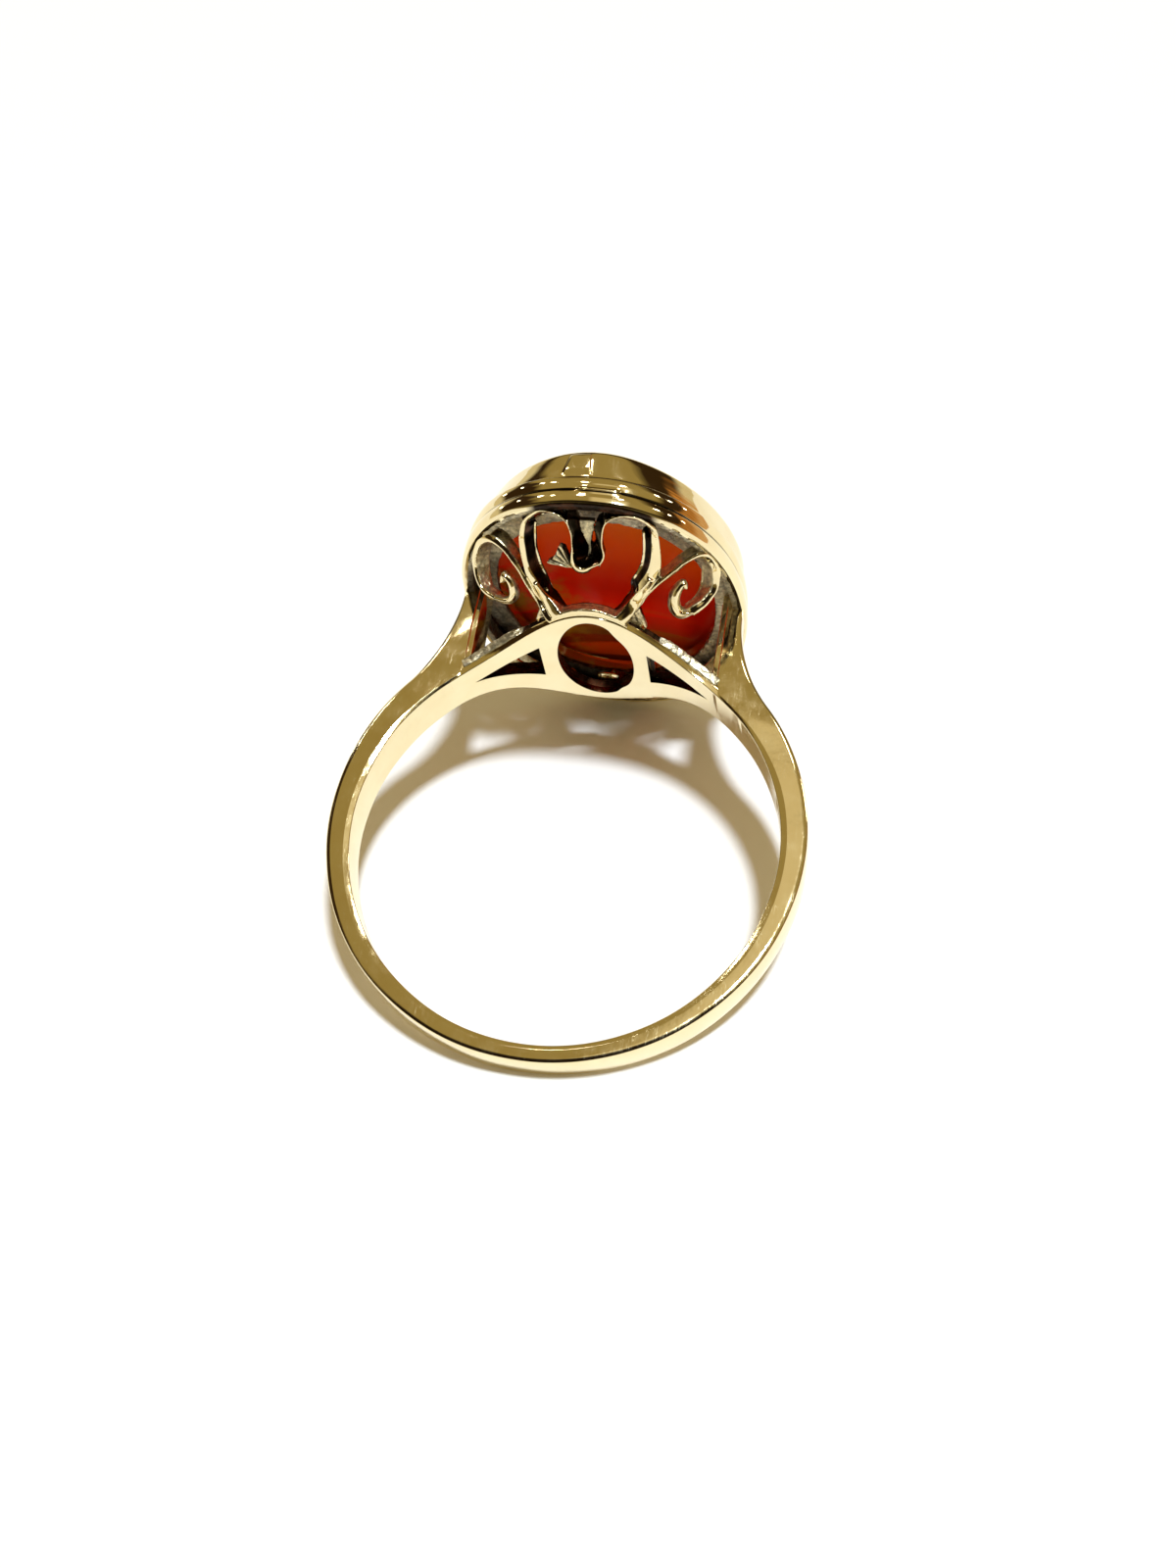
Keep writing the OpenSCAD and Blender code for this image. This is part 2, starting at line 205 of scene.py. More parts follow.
def tidy_normals(me):
    """Makes all faces look outward."""
    bm = bmesh.new()
    bm.from_mesh(me)
    bmesh.ops.recalc_face_normals(bm, faces=bm.faces)
    bm.to_mesh(me)
    bm.free()


def plain_faces(faces):
    return [tuple(int(i) for i in f) for f in faces]


def piece(name, verts, faces, mats, index=None, sharp=60, weighted=True):
    """One visible piece from points in ring coordinates. index picks a material for each face."""
    me = bpy.data.meshes.new(name)
    me.from_pydata(laid(verts).tolist(), [], plain_faces(faces))
    for m in mats:
        me.materials.append(m)
    if index is not None:
        me.polygons.foreach_set("material_index", np.asarray(index, np.int32))
    me.validate()
    tidy_normals(me)
    me.polygons.foreach_set("use_smooth", [True] * len(me.polygons))
    me.set_sharp_from_angle(angle=math.radians(sharp))
    ob = place(name, me)
    if weighted:
        mod = ob.modifiers.new("normals", "WEIGHTED_NORMAL")
        mod.keep_sharp = True
        mod.weight = 60
    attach(ob, "root")
    return ob


def grid_faces(rows, cols, wrap_rows=False, wrap_cols=True):
    """Quads of a grid of points that are counted row by row. Either way may close on itself."""
    faces = []
    for i in range(rows if wrap_rows else rows - 1):
        j = (i + 1) % rows
        for k in range(cols if wrap_cols else cols - 1):
            m = (k + 1) % cols
            faces.append((i * cols + k, j * cols + k, j * cols + m, i * cols + m))
    return faces


def tube_faces(rows, cols):
    """Quads round a tube, and a face over each end."""
    faces = grid_faces(rows, cols)
    faces.append(tuple(range(cols)))
    faces.append(tuple((rows - 1) * cols + k for k in range(cols - 1, -1, -1)))
    return faces


def soften(rows, radii, steps=3):
    """Rounds the corners of a closed section. Rows are points, radii one number or one a row."""
    rows = np.asarray(rows, float)
    n = len(rows)
    radii = np.broadcast_to(radii, (n,))
    out = []
    for i in range(n):
        p, a, b = rows[i], rows[i - 1], rows[(i + 1) % n]
        r = radii[i]
        if r <= 0:
            out.append(p)
            continue
        u = p + (a - p) * min(r / np.linalg.norm(a - p), 0.45)
        v = p + (b - p) * min(r / np.linalg.norm(b - p), 0.45)
        for k in range(steps + 1):
            t = k / steps
            out.append(u * (1 - t) ** 2 + 2 * p * t * (1 - t) + v * t * t)
    return np.array(out)


def oval_ring(rows, turns):
    """Verts and faces of a closed ring through ovals. Columns of rows: across, along, height."""
    rows = np.asarray(rows, float)
    x, z = oval(turns[:, None], rows[None, :, 0], rows[None, :, 1], slimness(rows[None, :, 2]))
    y = np.broadcast_to(rows[None, :, 2], x.shape)
    return np.stack([x, y, z], -1), grid_faces(len(turns), len(rows), wrap_rows=True)


def sweep(spots, outs, section, widths, depths):
    """Verts and faces of a strand along spots whose face looks along outs.

    Columns of section: side as a share of the width, out as a share of the depth, a side step in millimetres.
    """
    side = unit(np.cross(outs, unit(np.gradient(spots, axis=0))))
    aside = section[None, :, 0:1] * widths[:, None, None] + section[None, :, 2:3]
    out = section[None, :, 1:2] * depths[:, None, None]
    v = spots[:, None, :] + side[:, None, :] * aside + outs[:, None, :] * out
    return v, tube_faces(*v.shape[:2])


def join(parts):
    """Several (verts, faces) as one."""
    verts, faces, first = [], [], 0
    for v, f in parts:
        v = np.asarray(v).reshape(-1, 3)
        verts.append(v)
        faces += [tuple(i + first for i in face) for face in f]
        first += len(v)
    return np.concatenate(verts), faces


# material nodes
class Nodes:
    """A short way to write node trees."""

    def __init__(self, name):
        self.mat = bpy.data.materials.new(name)
        self.mat.use_nodes = True
        self.tree = self.mat.node_tree
        self.tree.nodes.clear()
        self.out = self.tree.nodes.new("ShaderNodeOutputMaterial")
        self.coord = self.tree.nodes.new("ShaderNodeTexCoord").outputs["Object"]

    def add(self, kind, links=None, **sets):
        n = self.tree.nodes.new(kind)
        for k, v in sets.items():
            if hasattr(n, k):
                setattr(n, k, v)
            else:
                n.inputs[k.replace("_", " ")].default_value = v
        for k, v in (links or {}).items():
            self.tree.links.new(v, n.inputs[k])
        return n

    def give(self, socket, value):
        """A number or a colour is set on the socket itself, and another node's output is linked to it."""
        if isinstance(value, tuple):
            socket.default_value = (*value, 1)
        elif isinstance(value, (int, float)):
            socket.default_value = value
        else:
            self.tree.links.new(value, socket)

    def scaled(self, scale, turn):
        n = self.add("ShaderNodeMapping", {"Vector": self.coord}, Scale=scale, Rotation=turn)
        return n.outputs["Vector"]

    def noise(self, size_mm, detail=3.0, rough=0.5, source=None, distort=0.0):
        n = self.add(
            "ShaderNodeTexNoise", {"Vector": source or self.coord},
            Scale=1000.0 / size_mm, Detail=detail, Roughness=rough, Distortion=distort,
        )
        return n.outputs["Fac"]

    def cells(self, size_mm):
        """Distance from the middles of scattered cells."""
        n = self.add("ShaderNodeTexVoronoi", {"Vector": self.coord}, Scale=1000.0 / size_mm)
        return n.outputs["Distance"]

    def marked(self, name):
        """How much of something the piece's points were marked with."""
        return self.add("ShaderNodeAttribute", attribute_name=name).outputs["Fac"]

    def ramp(self, fac, stops, mode="LINEAR"):
        n = self.add("ShaderNodeValToRGB", {"Fac": fac})
        n.color_ramp.interpolation = mode
        while len(n.color_ramp.elements) < len(stops):
            n.color_ramp.elements.new(0.5)
        for e, (at, c) in zip(n.color_ramp.elements, stops):
            e.position = at
            e.color = (c, c, c, 1) if isinstance(c, (int, float)) else (*c, 1)
        return n.outputs["Color"]

    def span(self, value, a, b, lo=0.0, hi=1.0):
        """lo where the value is a, hi where it is b, and even in between."""
        n = self.add("ShaderNodeMapRange", {"Value": value})
        for k, v in zip(("From Min", "From Max", "To Min", "To Max"), (a, b, lo, hi)):
            n.inputs[k].default_value = v
        return n.outputs["Result"]

    def math(self, op, a, b=0.0):
        n = self.add("ShaderNodeMath", operation=op)
        self.give(n.inputs[0], a)
        self.give(n.inputs[1], b)
        return n.outputs[0]

    def times(self, first, *others):
        for other in others:
            first = self.math("MULTIPLY", first, other)
        return first

    def plus(self, a, b):
        return self.math("ADD", a, b)

    def mix(self, fac, a, b):
        n = self.add("ShaderNodeMix", data_type="RGBA")
        for i, v in ((0, fac), (6, a), (7, b)):
            self.give(n.inputs[i], v)
        return n.outputs[2]

    def bump(self, height, strength, depth_mm, before=None):
        n = self.add("ShaderNodeBump", {"Height": height}, Strength=strength, Distance=depth_mm / 1000)
        if before:
            self.tree.links.new(before, n.inputs["Normal"])
        return n.outputs["Normal"]

    def shader(self, color, rough, normal, **sets):
        n = self.add("ShaderNodeBsdfPrincipled", {"Normal": normal}, **sets)
        self.give(n.inputs["Base Color"], color)
        self.give(n.inputs["Roughness"], rough)
        self.tree.links.new(n.outputs["BSDF"], self.out.inputs["Surface"])


def scratches(t, few):
    """Sparse fine scratches in three directions, 1 on a scratch and 0 beside it."""
    total = 0.0
    for turn, size in (((0.2, 0.1, 0.5), 0.9), ((0.4, 0.3, 2.1), 1.3), ((0.1, 0.7, 1.2), 1.1)):
        stretched = t.noise(size, 1.0, 0.3, t.scaled((11, 1, 1), turn), 0.2)
        line = t.ramp(stretched, ((0.488, 0.0), (0.5, 1.0), (0.512, 0.0)))
        here = t.noise(1.9, 2.0, 0.5, t.scaled((1, 1, 1), turn))
        total = t.math("MAXIMUM", total, t.times(line, t.span(here, few, few + 0.06)))
    return total


def gold(
    name, tone=(0.9, 0.79, 0.5), rough=(0.035, 0.09), wave=0.004, scratch=0.5, cast=0.0, pits=0.0, mask=None
):
    """Polished gold. cast roughens it as it came from the mould, where mask says so; pits wear it; marked
    points get painted shade.
    """
    t = Nodes(name)
    deep = tuple(c * k for c, k in zip(tone, (0.95, 0.92, 0.86)))
    color = t.mix(t.span(t.noise(1.6, 4.0, 0.55), 0.35, 0.7), tone, deep)
    roughness = t.span(t.noise(0.7, 4.0, 0.6), 0.35, 0.7, *rough)
    normal = t.bump(t.noise(1.5, 1.0, 0.3), 1.0, wave)
    if scratch:
        lines = scratches(t, 0.5 if pits else 0.56)
        normal = t.bump(lines, -scratch, 0.005 if pits else 0.002, normal)
        roughness = t.plus(roughness, t.times(lines, 0.15))
    if pits:
        spots = t.times(t.span(t.cells(0.3), 0.16, 0.05), t.span(t.noise(2.2, 2.0), 0.5, 0.62))
        normal = t.bump(spots, -pits, 0.008, normal)
        normal = t.bump(t.noise(0.42, 2.0, 0.5), pits, 0.0045, normal)
    if cast:
        grain = t.plus(t.noise(0.16, 4.0, 0.65), t.times(t.cells(0.2), 0.7))
        rugged = t.bump(grain, cast, 0.05, normal)
        dirt = t.span(t.noise(0.22, 5.0, 0.7), 0.4, 0.62)
        dull = t.mix(dirt, tuple(c * 0.45 for c in tone), color)
        if mask is None:
            normal, color = rugged, dull
        else:
            here = t.span(t.plus(t.marked(mask), t.times(t.noise(0.3, 3.0), 0.5)), 0.45, 0.75)
            color = t.mix(here, color, dull)
            roughness = t.plus(roughness, t.times(here, 0.28))
            normal = t.mix(here, normal, rugged)
    # painted shade and painted dark reflection: marked points are painted near black, with a brownish painted
    # sheen that varies at random, and made rougher
    black = t.span(t.plus(t.marked("painted_shade"), t.times(t.noise(0.35, 3.0), 0.2)), 0.25, 0.75)
    shade_color = t.mix(t.span(t.noise(0.9, 2.0), 0.5, 0.7), (0.014, 0.007, 0.003), (0.09, 0.035, 0.016))
    color = t.mix(black, color, shade_color)
    roughness = t.plus(roughness, t.times(black, 0.15))
    t.shader(color, roughness, normal, Metallic=1.0)
    return t.mat


POLISHED = gold("gold_polished")
WORN = gold("gold_worn", rough=(0.05, 0.14), scratch=0.9, pits=0.8, wave=0.006)
CAST = gold("gold_cast", tone=(0.78, 0.7, 0.5), rough=(0.25, 0.45), scratch=0.0, cast=0.8, wave=0.01)
SOLDERED = gold("gold_gallery", scratch=0.3, cast=0.7, mask="cast", wave=0.006)


def front_shell():
    """The carved side: an orange ground, and a cream layer where the carving stands up."""
    t = Nodes("shell_carved")
    cloud = t.noise(3.0, 4.0, 0.6)
    ground = t.ramp(
        cloud, ((0.3, (0.5, 0.12, 0.035)), (0.55, (0.66, 0.22, 0.08)), (0.75, (0.74, 0.33, 0.16)))
    )
    cream = t.ramp(t.noise(1.2, 4.0, 0.6), ((0.3, (0.86, 0.76, 0.64)), (0.7, (0.95, 0.9, 0.82))))
    layer = t.plus(t.marked("carve"), t.times(t.math("SUBTRACT", cloud, 0.5), 0.12))
    color = t.mix(t.ramp(layer, ((0.06, 0.0), (0.34, 1.0)), "EASE"), ground, cream)
    rough = t.span(t.noise(0.6, 4.0), 0.3, 0.7, 0.22, 0.36)
    normal = t.bump(t.noise(0.35, 4.0, 0.6), 0.35, 0.012)
    t.shader(
        color, rough, normal, IOR=1.55,
        Subsurface_Weight=0.25, Subsurface_Scale=0.0006, Subsurface_Radius=(1.0, 0.45, 0.2),
    )
    return t.mat


def back_shell():
    """The hollow side, orange above and red below with painted light glowing through the upper part, and the
    shell's layers across it.
    """
    t = Nodes("shell_back")
    xyz = t.add("ShaderNodeSeparateXYZ", {"Vector": t.coord})
    x = xyz.outputs["X"]
    swirl = t.times(t.math("SUBTRACT", t.noise(5.0, 2.0, 0.5), 0.5), 1.6)
    # millimetres above the floor, a little slanted and swirled
    level = t.plus(t.plus(t.times(xyz.outputs["Z"], 1000.0), t.times(x, 170.0)), swirl)
    # painted light: the shell's own orange and red are painted darker low down and brighter high up, as light
    # through the shell would show them
    tone = t.ramp(
        t.span(level, 1.0, 14.0),
        (
            (0.0, (0.3, 0.03, 0.001)), (0.15, (0.42, 0.03, 0.001)), (0.3, (0.5, 0.006, 0.0005)),
            (0.5, (0.66, 0.012, 0.001)), (0.72, (0.8, 0.068, 0.001)), (0.85, (0.82, 0.115, 0.001)),
            (1.0, (0.82, 0.12, 0.001)),
        ),
    )
    slant = (0.0, 0.17, 0.0)
    lower = t.span(level, 6.0, 3.6)
    lines = t.noise(1.9, 2.0, 0.5, t.scaled((0.1, 1.0, 1.0), slant), 0.4)
    band = t.times(t.ramp(lines, ((0.5, 0.0), (0.56, 1.0))), lower)
    color = t.mix(band, tone, (0.28, 0.105, 0.004))
    lines = t.noise(2.3, 2.0, 0.5, t.scaled((0.1, 1.0, 1.3), slant))
    dusk = t.times(t.ramp(lines, ((0.53, 0.0), (0.58, 1.0))), lower, 0.8)
    color = t.mix(dusk, color, (0.09, 0.012, 0.001))
    left = t.times(t.span(x, -0.001, -0.0034), t.span(level, 8.5, 6.5))
    spots = t.times(left, t.ramp(t.noise(0.9, 3.0), ((0.42, 0.0), (0.58, 1.0))), 0.85)
    color = t.mix(spots, color, (0.26, 0.12, 0.006))
    # painted light: the middle below is painted nearly twice as bright, as a glow through the shell
    glow_patch = t.times(t.span(x, -0.0032, -0.0024), t.span(x, 0.0036, 0.0028), t.span(level, 7.0, 5.0))
    lit = t.add("ShaderNodeVectorMath", {0: color}, operation="SCALE", Scale=1.9)
    color = t.mix(glow_patch, color, lit.outputs["Vector"])
    rough = t.span(t.noise(0.8, 3.0), 0.3, 0.7, 0.08, 0.16)
    normal = t.bump(t.noise(2.2, 2.0, 0.4), 0.5, 0.02)
    t.shader(
        color, rough, normal, IOR=1.45, Specular_IOR_Level=0.12,
        Subsurface_Weight=0.15, Subsurface_Scale=0.0008, Subsurface_Radius=(1.0, 0.2, 0.05),
    )
    return t.mat


SHELL_FRONT = front_shell()
SHELL_BACK = back_shell()


# hoop and arms

# the hoop's inner line leaves the finger's circle at the crotch and runs straight up from the knee,
# which is this share of the arm's way up
CROTCH = (5.3, 6.96)
KNEE = 7.85
KNEE_SHARE = 0.12


def hoop_stations(way):
    """Inner and outer points from the bottom of the hoop up one side to the rails."""
    inner, outer = [], []
    touch = math.pi / 2 - ARM_TURN
    corner = math.atan2(CROTCH[1], CROTCH[0])
    for k in range(110):
        a = -math.pi / 2 + (touch + math.pi / 2) * k / 109
        b = a + (corner - touch) * smoothstep(a, 0.1, touch) * (a > 0.1)
        outer.append((OUTER_R * math.cos(a), OUTER_OFF + OUTER_R * math.sin(a)))
        inner.append((BORE * math.cos(b), BORE * math.sin(b)))
    top = GROOVE_Y + 0.1
    for k in range(1, 56):
        t = k / 55
        y = HOOP_TOP + (top - HOOP_TOP) * t
        x = ARM_OUT if y > ARM_BEND else ARM_OUT + ARM_CURVE - math.sqrt(ARM_CURVE**2 - (ARM_BEND - y) ** 2)
        outer.append((x, y))
        if t < KNEE_SHARE:
            s = t / KNEE_SHARE
            inner.append((CROTCH[0] + (ARM_IN - CROTCH[0]) * s, CROTCH[1] + (KNEE - CROTCH[1]) * s))
        else:
            inner.append((ARM_IN, KNEE + (top - KNEE) * (t - KNEE_SHARE) / (1 - KNEE_SHARE)))
    return np.array(inner) * [way, 1], np.array(outer) * [way, 1]


def hoop_mesh():
    """The points of the whole hoop, a row for each cut across it."""
    li, lo = hoop_stations(-1)
    ri, ro = hoop_stations(1)
    verts = []
    for p, q in zip(np.concatenate([li[::-1], ri[1:]]), np.concatenate([lo[::-1], ro[1:]])):
        size = np.linalg.norm(q - p)
        d = (q - p) / size
        y = (p[1] + q[1]) / 2
        w = np.interp(y, [-BOTTOM, HOOP_TOP * 0.9], [HOOP_WIDTH / 2, SHOULDER_WIDTH / 2])
        # the edges draw in near the head, the near one is filed at the left, and a step runs up the arms
        lean = 0.22 * smoothstep(y, 8.6, 12.2)
        filed = 0.0
        if p[0] < 0:
            filed = 0.085 * smoothstep(y, -6.5, -1.0) * fade(y, 6.8, 8.4)
        step = 0.06 * smoothstep(y, 7.2, 8.4)
        ease = min(0.24, size * 0.25)
        corners = [
            (0.0, -w + 0.05), (ease, -w), (size - ease, -w), (size - 0.04, -w + 0.05), (size, 0.0),
            (size - 0.04, w - 0.05 - filed), (size - ease, w - 0.3 * filed), (ease + 0.02, w),
            (ease, w - step - 0.004), (0.0, w - 0.062 + step * 0.7),
        ]
        radii = [0.05, 0.08, 0.08, 0.07, 0.9, 0.06, 0.06, 0.03, 0.03, 0.045]
        radii[0] += 0.1 * smoothstep(y, 8.2, 8.8)
        section = soften(corners, radii, 4)
        for u, z in section:
            verts.append((p[0] + d[0] * u, p[1] + d[1] * u, z - lean * np.sign(z) * (abs(z) / w) ** 0.5))
    return np.array(verts).reshape(-1, len(section), 3)


# base plate
def plate_outline(grow, reach=PLATE_REACH - 0.25, tuck=0.0):
    """The plate's outline, grown a little, with its middle tucked in."""
    xs = np.linspace(-reach, reach, 72)
    top = np.c_[xs, plate_half(xs) + grow - tuck * fade(np.abs(xs), 2.6, 3.4)]
    return np.concatenate([top, (top * [1, -1])[::-1]])


def plate_holes(shrink):
    """The oval hole, a little dented, and the pointed window on each side of it."""
    a = np.linspace(0, 2 * math.pi, 72, endpoint=False)
    hole = np.c_[(HOLE[0] / 2 - shrink) * np.sin(a), (HOLE[1] / 2 - shrink) * np.cos(a)]
    dent = np.exp(-(((hole[:, 0] - 1.1) / 0.35) ** 2) - ((hole[:, 1] - 1.75) / 0.8) ** 2)
    hole[:, 0] -= 0.2 * dent
    nick = np.exp(-(((hole[:, 0] - 1.0) / 0.3) ** 2) - ((hole[:, 1] + 2.3) / 0.35) ** 2)
    hole[:, 0] -= 0.12 * nick
    holes = [hole]
    near = HOLE[0] / 2 + BRIDGE
    t = np.linspace(0, 1, 14)
    half = (WINDOW[1] / 2 - shrink) * (1 - t) ** 1.25
    for way in (-1, 1):
        x = way * (near + shrink + (WINDOW[0] - 2 * shrink) * t)
        holes.append(np.concatenate([np.c_[x, half], np.c_[x[-2::-1], -half[-2::-1]]]))
    return holes


# at this radius the bent plate keeps its drawn positions
BEND_R = 9.07


def flat_solid(name, loops, low, high, bevel, mat, cuts, seed=0, rough=0.0):
    """A plate with holes and softened edges, cut fine enough along each axis to bend round the finger."""
    cu = bpy.data.curves.new("outline", "CURVE")
    cu.dimensions = "2D"
    cu.fill_mode = "BOTH"
    cu.extrude = (high - low) / 2 - bevel
    cu.bevel_depth = bevel
    cu.bevel_resolution = 2
    cu.offset = -bevel
    for loop in loops:
        sp = cu.splines.new("POLY")
        sp.points.add(len(loop) - 1)
        for pt, (x, z) in zip(sp.points, loop):
            pt.co = (x, z, 0, 1)
        sp.use_cyclic_u = True
    tmp = place("outline", cu)
    bpy.context.view_layer.update()
    me = tmp.to_mesh()
    bm = bmesh.new()
    bm.from_mesh(me)
    tmp.to_mesh_clear()
    bpy.data.objects.remove(tmp)
    bpy.data.curves.remove(cu)
    bmesh.ops.remove_doubles(bm, verts=bm.verts, dist=0.0005)
    for axis, places in enumerate(cuts):
        for at in places:
            no = [0, 0, 0]
            no[axis] = 1
            co = [0, 0, 0]
            co[axis] = at
            bmesh.ops.bisect_plane(
                bm, geom=bm.verts[:] + bm.edges[:] + bm.faces[:], plane_co=co, plane_no=no, dist=0.0003
            )
    v = np.array([p.co[:] for p in bm.verts])
    faces = [[p.index for p in f.verts] for f in bm.faces]
    bm.free()
    radius = (low + high) / 2 + v[:, 2]
    theta = np.arcsin(np.clip(v[:, 0] / BEND_R, -1, 1))
    at = np.c_[radius * np.sin(theta), radius * np.cos(theta), v[:, 1]]
    at += lumps(at, (0.35, 0.3, 0.33), seed) * rough
    return piece(name, at, faces, [mat], sharp=50)


# gallery
def flare_foot(turn):
    """Where the flare begins, on the edge of the base plate."""
    s = np.sin(turn)
    x = ARM_IN * np.sign(s) * np.abs(s) ** 1.5
    return np.stack([x, np.sqrt(PLATE_R**2 - x * x) - PLATE_THICK / 3, plate_half(x)], -1)


def flare_head(turn):
    """Where the flare ends, under the rails."""
    x, z = oval(turn, RAIL_A - RAIL_WALL, RAIL_L - RAIL_WALL)
    return np.stack([x, np.full_like(x, FOOT), z], -1)


def flare(turn, share):
    """A point of the flaring surface that the gallery's strands lie on."""
    f = flare_foot(turn)
    return f + (flare_head(turn) - f) * share[..., None]


def flare_out(turn, share):
    """The flare's outward direction."""
    d = math.radians(1)
    a = flare(turn + d, share) - flare(turn - d, share)
    b = flare(turn, share + 0.05) - flare(turn, share - 0.05)
    return unit(np.cross(a, b))


# turn from the head's end in degrees, share of the way up the flare, width, depth, lean of the face
LOOPS = [
    (-22, -0.06, 0.46, 0.8, 0), (-25.2, 0.06, 0.5, 0.8, 0), (-28.2, 0.17, 0.4, 0.8, 0),
    (-30.8, 0.33, 0.28, 0.8, 0), (-31.9, 0.46, 0.23, 0.82, 0), (-31.5, 0.6, 0.2, 0.84, 0),
    (-29.6, 0.75, 0.18, 0.84, 0.05), (-26.4, 0.875, 0.17, 0.8, 0.2), (-21.5, 0.95, 0.13, 0.7, 0.5),
    (-15.5, 0.965, 0.12, 0.7, 0.5), (-10.5, 0.92, 0.11, 0.74, 0.2), (-7.3, 0.84, 0.1, 0.8, 0),
    (-6.3, 0.72, 0.1, 0.85, 0), (-6.8, 0.6, 0.11, 0.9, 0), (-8.2, 0.5, 0.18, 0.9, 0),
    (-8.6, 0.42, 0.3, 0.9, -0.1), (-6, 0.36, 0.42, 0.9, -0.1), (-1.8, 0.358, 0.38, 0.9, -0.1),
    (3.5, 0.41, 0.22, 0.9, -0.1), (7.8, 0.455, 0.15, 0.9, 0), (9.2, 0.53, 0.1, 0.9, 0),
    (7.8, 0.62, 0.1, 0.9, 0), (6.9, 0.72, 0.1, 0.85, 0), (7.5, 0.83, 0.11, 0.8, 0),
    (10, 0.905, 0.12, 0.74, 0.2), (14.5, 0.955, 0.13, 0.7, 0.5), (20, 0.97, 0.16, 0.7, 0.5),
    (25.3, 0.93, 0.22, 0.8, 0.2), (28.2, 0.86, 0.27, 0.84, 0.05), (30.6, 0.75, 0.32, 0.84, 0),
    (32.6, 0.61, 0.4, 0.82, 0), (32.8, 0.47, 0.52, 0.8, 0), (30.2, 0.29, 0.54, 0.8, 0),
    (26.2, 0.09, 0.5, 0.8, 0), (22, -0.05, 0.46, 0.8, 0),
]
HOOK_LEFT = [
    (-24, -0.09, 0.26, 0.7, 0), (-28.6, 0.01, 0.24, 0.7, 0), (-31.6, 0.17, 0.22, 0.7, 0),
    (-33.6, 0.33, 0.2, 0.7, 0), (-35.2, 0.5, 0.18, 0.7, 0), (-37, 0.64, 0.18, 0.7, 0),
    (-40, 0.79, 0.22, 0.7, 0), (-45, 0.92, 0.34, 0.7, 0), (-52, 0.99, 0.5, 0.7, 0),
    (-59, 0.98, 0.52, 0.7, 0), (-63, 0.9, 0.44, 0.7, 0), (-63, 0.76, 0.34, 0.7, 0),
    (-60, 0.58, 0.28, 0.66, 0), (-54, 0.43, 0.3, 0.62, 0.1), (-48, 0.33, 0.36, 0.6, 0.3),
    (-43.4, 0.34, 0.4, 0.55, 0.4), (-42.2, 0.44, 0.36, 0.5, 0.3), (-44.5, 0.54, 0.28, 0.45, 0),
    (-46.5, 0.5, 0.2, 0.4, 0),
]
HOOK_RIGHT = [
    (22, -0.07, 0.26, 0.7, 0), (25.6, 0.02, 0.3, 0.7, 0), (29.2, 0.14, 0.28, 0.7, 0),
    (33.8, 0.37, 0.24, 0.7, 0), (37.2, 0.53, 0.24, 0.7, 0), (40.6, 0.66, 0.25, 0.7, 0),
    (44, 0.79, 0.26, 0.7, 0), (48.5, 0.92, 0.28, 0.7, 0), (54, 0.98, 0.36, 0.7, 0),
    (59.5, 0.96, 0.38, 0.75, 0), (62, 0.86, 0.32, 0.8, 0), (61.8, 0.74, 0.28, 0.8, 0),
    (58.6, 0.58, 0.34, 0.75, 0), (53.4, 0.42, 0.44, 0.7, 0.2), (48.4, 0.34, 0.5, 0.66, 0.3),
    (44.8, 0.38, 0.48, 0.6, 0.4), (44.2, 0.49, 0.44, 0.55, 0.3), (46.4, 0.6, 0.3, 0.5, 0),
    (48, 0.58, 0.2, 0.4, 0),
]
BAR = [
    (-27, -0.07, 0.4, 0.6, 0), (-21, -0.035, 0.5, 0.6, 0), (-12, -0.018, 0.5, 0.6, 0),
    (0, -0.018, 0.5, 0.62, 0), (12, -0.018, 0.5, 0.6, 0), (21, -0.035, 0.5, 0.6, 0),
    (27, -0.07, 0.4, 0.6, 0),
]
# sections of the strands, as sweep takes them
FLAT = soften([(-0.5, -1.0, 0), (0.5, -1.0, 0), (0.5, 0.0, 0), (0.0, 0.03, 0), (-0.5, 0.0, 0)], 0.06, 2)
STRIP = soften(
    [
        (-0.5, -1.0, -0.05), (0.5, -1.0, 0.02), (0.5, -0.02, 0), (0.1, 0.02, 0), (-0.5, -0.2, 0),
        (-0.5, -0.86, 0.01), (-0.5, -0.9, -0.05),
    ],
    [0.02, 0.05, 0.05, 0.1, 0.05, 0.02, 0.02], 2,
)
ROUNDED = soften(
    [(-0.5, -0.9, 0), (0.0, -1.0, 0), (0.5, -0.9, 0), (0.52, -0.4, 0), (0.0, 0.12, 0), (-0.52, -0.4, 0)],
    0.45, 3,
)


def frame_at(rows):
    """Points of a strand and the way its face looks. Rows are like those of the tables above."""
    at, share = rows[:, 0], rows[:, 1]
    turn = np.radians(at)
    spots, outs = flare(turn, share), flare_out(turn, share)
    rise = unit(flare(turn, share + 0.05) - flare(turn, share - 0.05))
    spots = spots + outs * (0.36 * fade(share[:, None], -0.02, 0.17))
    # three stretches lean sideways, so that their inner walls show
    way = unit(flare(turn + 0.01, share) - flare(turn - 0.01, share))
    raised = smoothstep(share, 0.15, 0.4)
    splay = 0.75 * smoothstep(at, 26, 30) * raised * fade(at, 34, 38)
    splay += 0.45 * smoothstep(at, 3, 6.5) * fade(at, 12, 16)
    splay -= 0.5 * smoothstep(-at, 24, 28) * fade(-at, 32.5, 35) * raised
    return spots, unit(outs + rise * rows[:, 4:5] + way * splay[:, None])


def strand(table, section=STRIP, cuts=10, seed=1, uneven=0.02):
    rows = curve_through(table, cuts)
    spots, outs = frame_at(rows)
    v, f = sweep(spots, outs, section, rows[:, 2], rows[:, 3])
    return v + lumps(v, (0.9, 1.0, 0.8), seed) * uneven, f


